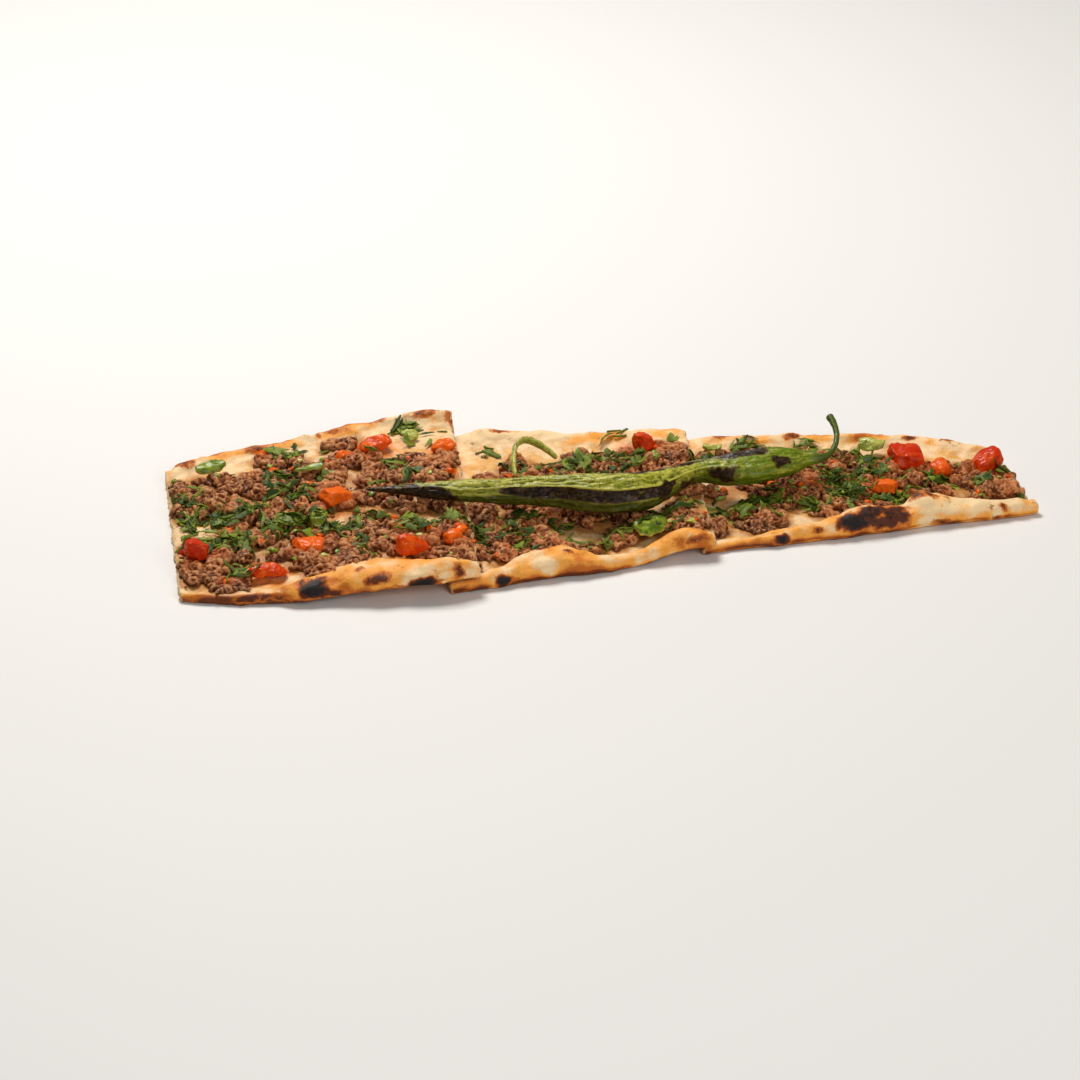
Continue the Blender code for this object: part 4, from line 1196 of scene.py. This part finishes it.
def leaf_rows(rng, size):
    """A cut ribbon or a lobed scrap of leaf, as places left, middle and right along its bent middle."""
    lobed = rng.uniform() < 0.3
    length = size * (rng.uniform(1.5, 2.1) if lobed else rng.uniform(2.0, 3.4))
    half = size * (rng.uniform(0.5, 0.75) if lobed else rng.uniform(0.24, 0.42))
    jag = 0.75 if lobed else 0.4
    share = np.linspace(0.0, 1.0, LEAF_ROWS)
    bend = rng.uniform(-0.7, 0.7) * length
    middle = np.stack([(share - 0.5) * length, bend * share * (1 - share)], 1)
    taper = np.maximum(np.sin(math.pi * share), 0.06) ** rng.uniform(0.5, 0.9)
    teeth = np.clip(1 + jag * rng.uniform(-1, 0.7, (LEAF_ROWS, 2)), 0.15, 2)
    reach = half * taper[:, None] * teeth
    left = middle + np.stack([np.zeros(LEAF_ROWS), reach[:, 0]], 1)
    right = middle - np.stack([np.zeros(LEAF_ROWS), reach[:, 1]], 1)
    return np.stack([left, middle, right], 1)


def herb_spots(rng, look):
    """Where each leaf lies: thick in the listed patches, thin everywhere else on the topping."""
    spots = []
    for x, y, half_length, half_width, count in HERB_PATCHES:
        for _ in range(int(round(count * look.herbs))):
            spots.append((x + rng.normal() * half_length * 0.55, y + rng.normal() * half_width * 0.55))
    for home in SLICE_LEAN:
        low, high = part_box("meat_" + home)
        for _ in range(look.stray_herbs):
            spots.append((rng.uniform(low.x, high.x) / MM, rng.uniform(low.y, high.y) / MM))
    return spots


def leaf_faces():
    """Faces of one leaf, whose upper side comes first and its lower side after it."""
    faces, under = [], 3 * LEAF_ROWS
    for row in range(LEAF_ROWS - 1):
        for side in range(2):
            a = 3 * row + side
            b, c, d = a + 1, a + 4, a + 3
            faces += [(a, b, c, d), (a + under, d + under, c + under, b + under)]
        a, b = 3 * row, 3 * row + 2
        faces += [(a, a + 3, a + 3 + under, a + under), (b, b + under, b + 3 + under, b + 3)]
    for first in (0, 1):
        last = under - 3 + first
        faces.append((first, first + under, first + 1 + under, first + 1))
        faces.append((last, last + 1, last + 1 + under, last + under))
    return np.array(faces)


def laid_leaf(rng, x, y, trees):
    """The upper side of one leaf draped over what is under it, or None where it would hang over an edge."""
    size = rng.choice(LEAF_SIZES, p=LEAF_SHARES) * rng.uniform(0.85, 1.15) * MM
    rows = leaf_rows(rng, size)
    turn = rng.normal() * 0.8 if rng.uniform() < 0.6 else rng.uniform(0, math.tau)
    swing = np.array(((math.cos(turn), -math.sin(turn)), (math.sin(turn), math.cos(turn))))
    spread = (rows.reshape(-1, 2) @ swing.T + np.array((x, y)) * MM).reshape(rows.shape)
    fold, roll = rng.uniform(-0.1, 0.8), rng.uniform(-0.7, 0.7)
    curl, layer = rng.uniform(-0.1, 0.22) * size, rng.uniform(0.0, 1.3) * MM
    levels = [height_at(trees, px, py) for px, py in spread.reshape(-1, 2)]
    if any(level is None for level in levels):
        return None
    levels = np.array(levels).reshape(LEAF_ROWS, 3)
    middle = levels[:, 1]
    # The middle line of a leaf is stiffer than what it lies on, and its sides rise from the fold.
    stiff = 0.35 * middle + 0.65 * np.convolve(np.pad(middle, 2, "edge"), np.full(5, 0.2), "valid")
    share = np.linspace(-1.0, 1.0, LEAF_ROWS)
    middle = np.maximum(stiff, middle - 1.0 * MM) + curl * share ** 2 + layer
    reach = np.linalg.norm(spread - spread[:, 1:2], axis=2)
    reach[:, 0] *= -1
    lift = middle[:, None] + fold * np.abs(reach) + roll * reach
    lift = np.maximum(lift, np.minimum(levels, middle[:, None] + 0.7 * np.abs(reach)))
    lift = np.clip(lift + 0.35 * MM, 0.4 * MM, frame_box[1].z)
    return kept_inside(np.concatenate([spread.reshape(-1, 2), lift.reshape(-1, 1)], 1))


def herb_mesh(look, trees):
    """All the chopped leaves, whose middles keep off the diced tomato and one chunk of green pepper."""
    rng = np.random.default_rng(HERB_SEED)
    shape = leaf_faces()
    points, faces, tones, rims = [], [], [], []
    boxes = [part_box(name) for name in (*TOMATO_RIPENESS, "green_chunk")]
    for x, y in herb_spots(rng, look):
        if any(low.x < x * MM < high.x and low.y < y * MM < high.y for low, high in boxes):
            continue
        if height_at(trees, x * MM, (y + LEAF_MARGIN) * MM) is None:
            continue
        top = laid_leaf(rng, x, y, trees)
        if top is None:
            continue
        faces.append(shape + len(points))
        points += top.tolist() + (top - np.array((0, 0, LEAF_THICKNESS * MM))).tolist()
        tones += [rng.uniform(0, 1)] * (6 * LEAF_ROWS)
        rims += [1.0, 0.0, 1.0] * (2 * LEAF_ROWS)
    mesh = mesh_of("parsley_leaves", np.array(points), np.concatenate(faces))
    paint(mesh, "tone", tones)
    paint(mesh, "rim", rims)
    return mesh


def stem_mesh(look, trees):
    """Short pieces of parsley stem, bent a little and lying on the topping."""
    rng = np.random.default_rng(STEM_SEED)
    rings, sides = STEM_RINGS, STEM_SIDES
    points, faces, tones = [], [], []
    for _ in range(look.stems):
        x, y, half_length, half_width, _ = HERB_PATCHES[rng.integers(len(HERB_PATCHES))]
        start = np.array((x + rng.normal() * half_length * 0.6, y + rng.normal() * half_width * 0.6)) * MM
        turn, bend = rng.uniform(0, math.tau), rng.uniform(-0.9, 0.9)
        length, thick = rng.uniform(5, 12) * MM, rng.uniform(0.35, 0.6) * MM
        line, heading = [start], turn
        for _ in range(rings - 1):
            heading += bend / rings
            line.append(line[-1] + np.array((math.cos(heading), math.sin(heading))) * length / rings)
        levels = [height_at(trees, px, py) for px, py in line]
        if any(level is None for level in levels):
            continue
        levels = np.array(levels)
        levels = 0.4 * levels + 0.6 * np.sort(levels)[-3:].mean() + thick + 0.1 * MM
        levels = np.minimum(np.maximum(levels, 0.0), frame_box[1].z - thick)
        first = len(points)
        for (px, py), level in zip(line, levels):
            for s in range(sides):
                spin = math.tau * s / sides
                side = np.array((-math.sin(heading), math.cos(heading))) * math.cos(spin) * thick
                points.append((px + side[0], py + side[1], level + math.sin(spin) * thick))
        for r in range(rings - 1):
            for s in range(sides):
                a, b = first + r * sides + s, first + r * sides + (s + 1) % sides
                faces.append((a, b, b + sides, a + sides))
        faces.append(tuple(first + s for s in range(sides))[::-1])
        faces.append(tuple(first + (rings - 1) * sides + s for s in range(sides)))
        tones += [rng.uniform(0.6, 1.0)] * (rings * sides)
    mesh = mesh_of("parsley_stems", np.array(points), faces)
    paint(mesh, "tone", tones)
    paint(mesh, "rim", 0.0)
    return mesh


# ---------------------------------------------------------------- settings


def colour_setting(name, description, default):
    """A colour."""
    return FloatVectorProperty(
        name=name, description=description, subtype="COLOR", size=3, min=0, max=1, default=default)


def length_setting(name, description, default, least, most):
    """A length in metres."""
    return FloatProperty(
        name=name, description=description, unit="LENGTH", default=default, min=least, max=most)


def power_setting(name, description, default, least, most):
    """The power of a light in watts."""
    return FloatProperty(
        name=name, description=description, unit="POWER", default=default, min=least, max=most)


def number_setting(name, description, default, least, most):
    """A number without a unit."""
    return FloatProperty(name=name, description=description, default=default, min=least, max=most)


def count_setting(name, description, default, least, most):
    """A whole number."""
    return IntProperty(name=name, description=description, default=default, min=least, max=most)


class PideBreadSettings(bpy.types.PropertyGroup):
    """Sizes and colours of the bread."""

    grain: length_setting("Grain", "Size of the smallest face", 0.0011, 0.0008, 0.004)
    most_faces: count_setting("Most faces", "Triangles in one slice", 50000, 5000, 190000)
    blisters: count_setting("Blisters", "Small blisters on the rims of each slice", 90, 1, 400)
    crumb_colour: colour_setting("Crumb", "Unbrowned bread", (0.92, 0.66, 0.36))
    damp_colour: colour_setting("Damp bread", "Bread between the rims", (0.84, 0.44, 0.11))
    gold_colour: colour_setting("Gold", "Lightly baked crust", (0.93, 0.39, 0.055))
    toast_colour: colour_setting("Toast", "Well baked crust", (0.56, 0.14, 0.010))
    brown_colour: colour_setting("Brown", "Dark brown spots", (0.10, 0.020, 0.004))
    freckle_colour: colour_setting("Freckles", "Small browned freckles on the rims", (0.24, 0.055, 0.008))
    char_colour: colour_setting("Char", "Burnt spots", (0.010, 0.005, 0.004))
    # Painted shade: the colour of the shaded pores in the crumb at the cuts.
    crumb_pore_shade_colour: colour_setting("Cut", "Hollows of the crumb at the cuts", (0.55, 0.22, 0.07))
    juice_colour: colour_setting("Juice", "Meat juice soaked into the bread", (0.46, 0.17, 0.030))
    oil_colour: colour_setting("Oil", "Orange fat beside the tomato", (0.80, 0.20, 0.016))


class PideMeatSettings(bpy.types.PropertyGroup):
    """Sizes and colours of the minced meat."""

    detail: length_setting("Detail", "Size of the smallest face", 0.00055, 0.0004, 0.003)
    most_faces: count_setting("Most faces", "Triangles on one slice", 155000, 5000, 190000)
    clump_spacing: length_setting("Clump spacing", "Distance between clumps", 0.0098, 0.004, 0.02)
    cover: number_setting("Cover", "Share of the bread under meat", 0.56, 0, 1.5)
    grains: number_setting("Grains", "Grains on a clump one millimetre in radius", 1.9, 0.2, 4)
    grain_size: length_setting("Grain size", "Usual width of one grain", 0.0021, 0.001, 0.004)
    loose: number_setting("Loose grains", "Loose grains for each clump", 2.5, 0, 20)
    meat_colour: colour_setting("Meat", "Most grains", (0.29, 0.072, 0.012))
    pink_colour: colour_setting("Pink", "Less browned grains", (0.56, 0.175, 0.048))
    # Pale fat flecks, and painted highlights on the crests of the grains.
    fat_and_highlight_colour: colour_setting("Fat", "Pale flecks", (0.88, 0.43, 0.17))
    seared_colour: colour_setting("Seared", "Most browned grains", (0.12, 0.028, 0.005))
    # Painted shade in the creases between the grains and low down between the clumps.
    crease_shade_colour: colour_setting("Creases", "Between the grains", (0.050, 0.012, 0.002))
    oil_colour: colour_setting("Oil", "Orange fat on the meat", (0.50, 0.10, 0.010))


class PideToppingSettings(bpy.types.PropertyGroup):
    """Sizes and colours of the vegetables and herbs."""

    topping_grain: length_setting("Detail", "Size of the smallest face", 0.0006, 0.0003, 0.003)
    most_faces: count_setting("Most faces", "Triangles on one piece of tomato", 6000, 500, 20000)
    herbs: number_setting("Herbs", "Share of the usual herbs in each patch", 2.1, 0, 3)
    stray_herbs: count_setting("Stray herbs", "Leaves spread over each slice", 30, 0, 200)
    stems: count_setting("Stems", "Pieces of parsley stem", 60, 1, 300)
    tomato_bits: count_setting("Tomato bits", "Finely chopped tomato on each slice", 14, 1, 100)
    green_bits: count_setting("Green bits", "Finely chopped green pepper on each slice", 26, 1, 100)
    tomato_colour: colour_setting("Tomato", "Ripe flesh", (0.56, 0.024, 0.001))
    orange_colour: colour_setting("Orange tomato", "Flesh cooked in fat", (0.84, 0.13, 0.004))
    vein_colour: colour_setting("Veins", "Pale veins in the flesh", (0.88, 0.22, 0.03))
    # Painted shade in the creases of the tomato flesh.
    deep_shade_colour: colour_setting("Deep red", "Creases of the flesh", (0.20, 0.005, 0.001))
    skin_colour: colour_setting("Green skin", "Skin of the green pepper", (0.085, 0.15, 0.005))
    bright_colour: colour_setting("Bright green", "Lighter skin and edges", (0.27, 0.34, 0.018))
    flesh_colour: colour_setting("Pale flesh", "Cut side of the green pepper", (0.55, 0.52, 0.12))
    browned_colour: colour_setting("Browned", "Scorched edge of the green pepper", (0.12, 0.05, 0.012))
    leaf_colour: colour_setting("Leaf", "Chopped parsley", (0.022, 0.048, 0.001))
    leaf_light_colour: colour_setting("Light leaf", "Edges and undersides of the leaves", (0.21, 0.26, 0.020))


class PidePepperSettings(bpy.types.PropertyGroup):
    """Sizes and colours of the grilled pepper."""

    detail: length_setting("Detail", "Size of the smallest face", 0.0006, 0.0004, 0.003)
    wrinkles: length_setting("Wrinkles", "Depth of the wrinkles", 0.001, 0, 0.002)
    skin_colour: colour_setting("Skin", "Most of the skin", (0.175, 0.195, 0.003))
    # Paler skin streaks, and painted highlights on the raised wrinkles and the ridge.
    pale_skin_and_highlight_colour: colour_setting("Light skin", "Raised wrinkles", (0.54, 0.51, 0.075))
    deep_shade_colour: colour_setting("Deep skin", "Hollows and underside of the skin", (0.034, 0.042, 0.001))
    # Painted shade in the hollows, fine wrinkle lines and underside of the skin.
    fresh_colour: colour_setting("Fresh skin", "Greener skin near the stalk", (0.12, 0.19, 0.004))
    stalk_colour: colour_setting("Stalk", "Stalk and its cap", (0.07, 0.10, 0.006))
    singed_colour: colour_setting("Singed", "Brown skin beside the char", (0.085, 0.042, 0.008))
    char_colour: colour_setting("Char", "Burnt skin", (0.014, 0.007, 0.003))
    ash_colour: colour_setting("Ash", "Grey lifted skin on the char", (0.11, 0.060, 0.030))


class PideStageSettings(bpy.types.PropertyGroup):
    """Floor, light and camera."""

    floor_colour: colour_setting("Floor", "Plain floor", (0.80, 0.79, 0.77))
    key_power: power_setting("Key light", "Power of the soft main light, in watts", 25, 0, 1000)
    fill_power: power_setting("Fill light", "Power of the front light, in watts", 10, 0, 1000)
    sky: number_setting("Sky", "Strength of the light from all round", 0.17, 0, 5)


# ---------------------------------------------------------------- operators


class PIDE_OT_bread(bpy.types.Operator):
    """Bake the three slices of bread"""

    bl_idname = "pide.bread"
    bl_label = "Bread"

    def execute(self, context):
        look = context.scene.pide_bread
        finish = bread_finish(look)
        for home in SLICE_LEAN:
            add_piece("bread_" + home, shaped_bread(home, look), finish, "dough", "dough_" + home)
        return {"FINISHED"}


class PIDE_OT_minced_meat(bpy.types.Operator):
    """Crumble the minced meat over each slice"""

    bl_idname = "pide.minced_meat"
    bl_label = "Minced meat"

    def execute(self, context):
        look = context.scene.pide_meat
        finish = meat_finish(look)
        for home in SLICE_LEAN:
            add_piece("minced_meat_" + home, crumbled(home, look), finish, "minced_meat", "meat_" + home)
        return {"FINISHED"}


class PIDE_OT_tomato(bpy.types.Operator):
    """Lay the diced tomato"""

    bl_idname = "pide.tomato"
    bl_label = "Tomato"

    def execute(self, context):
        look = context.scene.pide_toppings
        meshes = []
        for name, (orange, upright) in TOMATO_RIPENESS.items():
            meshes.append(soft_dice(name, orange, upright, look))
        bits = [(*bit, TOMATO_BITS_ORANGE) for bit in chopped_bits(look.tomato_bits, TOMATO_BITS_SEED)]
        places = list(TOMATO_SCRAPS) + bits
        for mesh, orange in scraps(places, TOMATO_FLATNESS, TOMATO_SCRAP_SEED, topping_trees()):
            # The crease mask feeds the painted shade in the creases of each scrap.
            paint(mesh, "crease", hollows(mesh, 4, 0.5))
            paint(mesh, "orange", orange)
            paint(mesh, "flesh", 0.7)
            meshes.append(mesh)
        dice = joined("tomato_dice", meshes)
        add_piece("tomato_dice", dice, tomato_finish(look), "tomato", *TOMATO_RIPENESS)
        return {"FINISHED"}


class PIDE_OT_green_pepper(bpy.types.Operator):
    """Lay the strips of green pepper"""

    bl_idname = "pide.green_pepper"
    bl_label = "Green pepper"

    def execute(self, context):
        look = context.scene.pide_toppings
        finish = green_finish(look)
        meshes = [strip_of_pepper(name, look) for name in GREEN_NODES]
        bits = list(GREEN_SCRAPS) + chopped_bits(look.green_bits, GREEN_BITS_SEED)
        places = [(*bit, (k % 3) / 2) for k, bit in enumerate(bits)]
        for mesh, skin in scraps(places, GREEN_FLATNESS, GREEN_SCRAP_SEED, topping_trees()):
            paint(mesh, "skin", skin)
            paint(mesh, "browned", 0.0)
            meshes.append(mesh)
        strips = joined("green_pepper_strips", meshes)
        add_piece("green_pepper_strips", strips, finish, "green_pepper", *GREEN_NODES)
        curl = strip_of_pepper("green_curl", look)
        add_piece("green_pepper_curl", curl, finish, "green_pepper", "green_curl")
        return {"FINISHED"}


class PIDE_OT_grilled_pepper(bpy.types.Operator):
    """Lay the grilled pepper across the slices"""

    bl_idname = "pide.grilled_pepper"
    bl_label = "Grilled pepper"

    def execute(self, context):
        look = context.scene.pide_pepper
        mesh = pepper_body(look)
        add_piece("grilled_pepper_whole", mesh, pepper_finish(look), "grilled_pepper", "grilled_pepper")
        return {"FINISHED"}


class PIDE_OT_parsley(bpy.types.Operator):
    """Scatter the chopped parsley"""

    bl_idname = "pide.parsley"
    bl_label = "Parsley"

    def execute(self, context):
        look = context.scene.pide_toppings
        finish = herb_finish(look)
        trees = topping_trees()
        trees += [tree_of(bpy.data.objects[name].data) for name in ("tomato_dice", "green_pepper_strips")]
        add_piece("parsley_leaves", herb_mesh(look, trees), finish, "parsley")
        add_piece("parsley_stems", stem_mesh(look, trees), finish, "parsley")
        return {"FINISHED"}


def lay_floor(colour):
    """A plain floor under everything."""
    reach = FLOOR_REACH
    corners = [(-reach, -reach, 0), (reach, -reach, 0), (reach, reach, 0), (-reach, reach, 0)]
    floor = bpy.data.objects.new("floor", mesh_of("floor", corners, [(0, 1, 2, 3)]))
    bpy.context.scene.collection.objects.link(floor)
    f = Finish("plain_floor")
    f.colour(colour)
    f.roughness(FLOOR_ROUGHNESS)
    floor.data.materials.append(f.material)


def hang_light(name, place_at, size, colour, power):
    """A square soft light, turned towards the middle of the pide."""
    lamp = bpy.data.lights.new(name, "AREA")
    lamp.energy = power
    lamp.size = size
    lamp.color = colour
    light = bpy.data.objects.new(name, lamp)
    light.location = place_at
    light.rotation_euler = (-Vector(place_at)).to_track_quat("-Z", "Y").to_euler()
    bpy.context.scene.collection.objects.link(light)


def set_sky(strength):
    """An even, slightly warm light from all round."""
    world = bpy.data.worlds.new("soft_sky")
    world.use_nodes = True
    background = world.node_tree.nodes["Background"]
    background.inputs["Color"].default_value = SKY_COLOUR
    background.inputs["Strength"].default_value = strength
    bpy.context.scene.world = world


def set_camera():
    """The camera, looking down on the pide from its front."""
    lens = bpy.data.cameras.new("camera")
    lens.lens = CAMERA_LENS
    lens.sensor_width = CAMERA_SENSOR
    camera = bpy.data.objects.new("camera", lens)
    camera.location = CAMERA_PLACE
    camera.rotation_euler = (CAMERA_TILT, 0.0, CAMERA_TURN)
    bpy.context.scene.collection.objects.link(camera)
    bpy.context.scene.camera = camera


class PIDE_OT_stage(bpy.types.Operator):
    """Set the floor, the soft light and the camera"""

    bl_idname = "pide.stage"
    bl_label = "Stage"

    def execute(self, context):
        look = context.scene.pide_stage
        lay_floor(look.floor_colour)
        hang_light("key_light", *KEY_LIGHT, look.key_power)
        hang_light("fill_light", *FILL_LIGHT, look.fill_power)
        set_sky(look.sky)
        set_camera()
        context.scene.view_settings.view_transform = "Standard"
        return {"FINISHED"}


class PIDE_PT_panel(bpy.types.Panel):
    """The pieces of the pide, in the order they are made"""

    bl_label = "Pide"
    bl_idname = "PIDE_PT_panel"
    bl_space_type = "VIEW_3D"
    bl_region_type = "UI"
    bl_category = "Pide"

    def draw(self, context):
        for operator in OPERATORS:
            self.layout.operator(operator.bl_idname)


SETTINGS = {
    "pide_bread": PideBreadSettings,
    "pide_meat": PideMeatSettings,
    "pide_toppings": PideToppingSettings,
    "pide_pepper": PidePepperSettings,
    "pide_stage": PideStageSettings,
}
OPERATORS = (
    PIDE_OT_bread, PIDE_OT_minced_meat, PIDE_OT_tomato, PIDE_OT_green_pepper, PIDE_OT_grilled_pepper,
    PIDE_OT_parsley, PIDE_OT_stage,
)


def register():
    """Adds the settings, the operators and the panel."""
    for made in (*SETTINGS.values(), *OPERATORS, PIDE_PT_panel):
        bpy.utils.register_class(made)
    for name, settings in SETTINGS.items():
        setattr(bpy.types.Scene, name, PointerProperty(type=settings))


def unregister():
    """Takes the settings, the operators and the panel away again."""
    for name in SETTINGS:
        delattr(bpy.types.Scene, name)
    for made in (*SETTINGS.values(), *OPERATORS, PIDE_PT_panel):
        bpy.utils.unregister_class(made)


def main():
    """Makes every piece in order."""
    register()
    bpy.ops.pide.bread()
    bpy.ops.pide.minced_meat()
    bpy.ops.pide.tomato()
    bpy.ops.pide.green_pepper()
    bpy.ops.pide.grilled_pepper()
    bpy.ops.pide.parsley()
    bpy.ops.pide.stage()


if __name__ == "__main__":
    main()
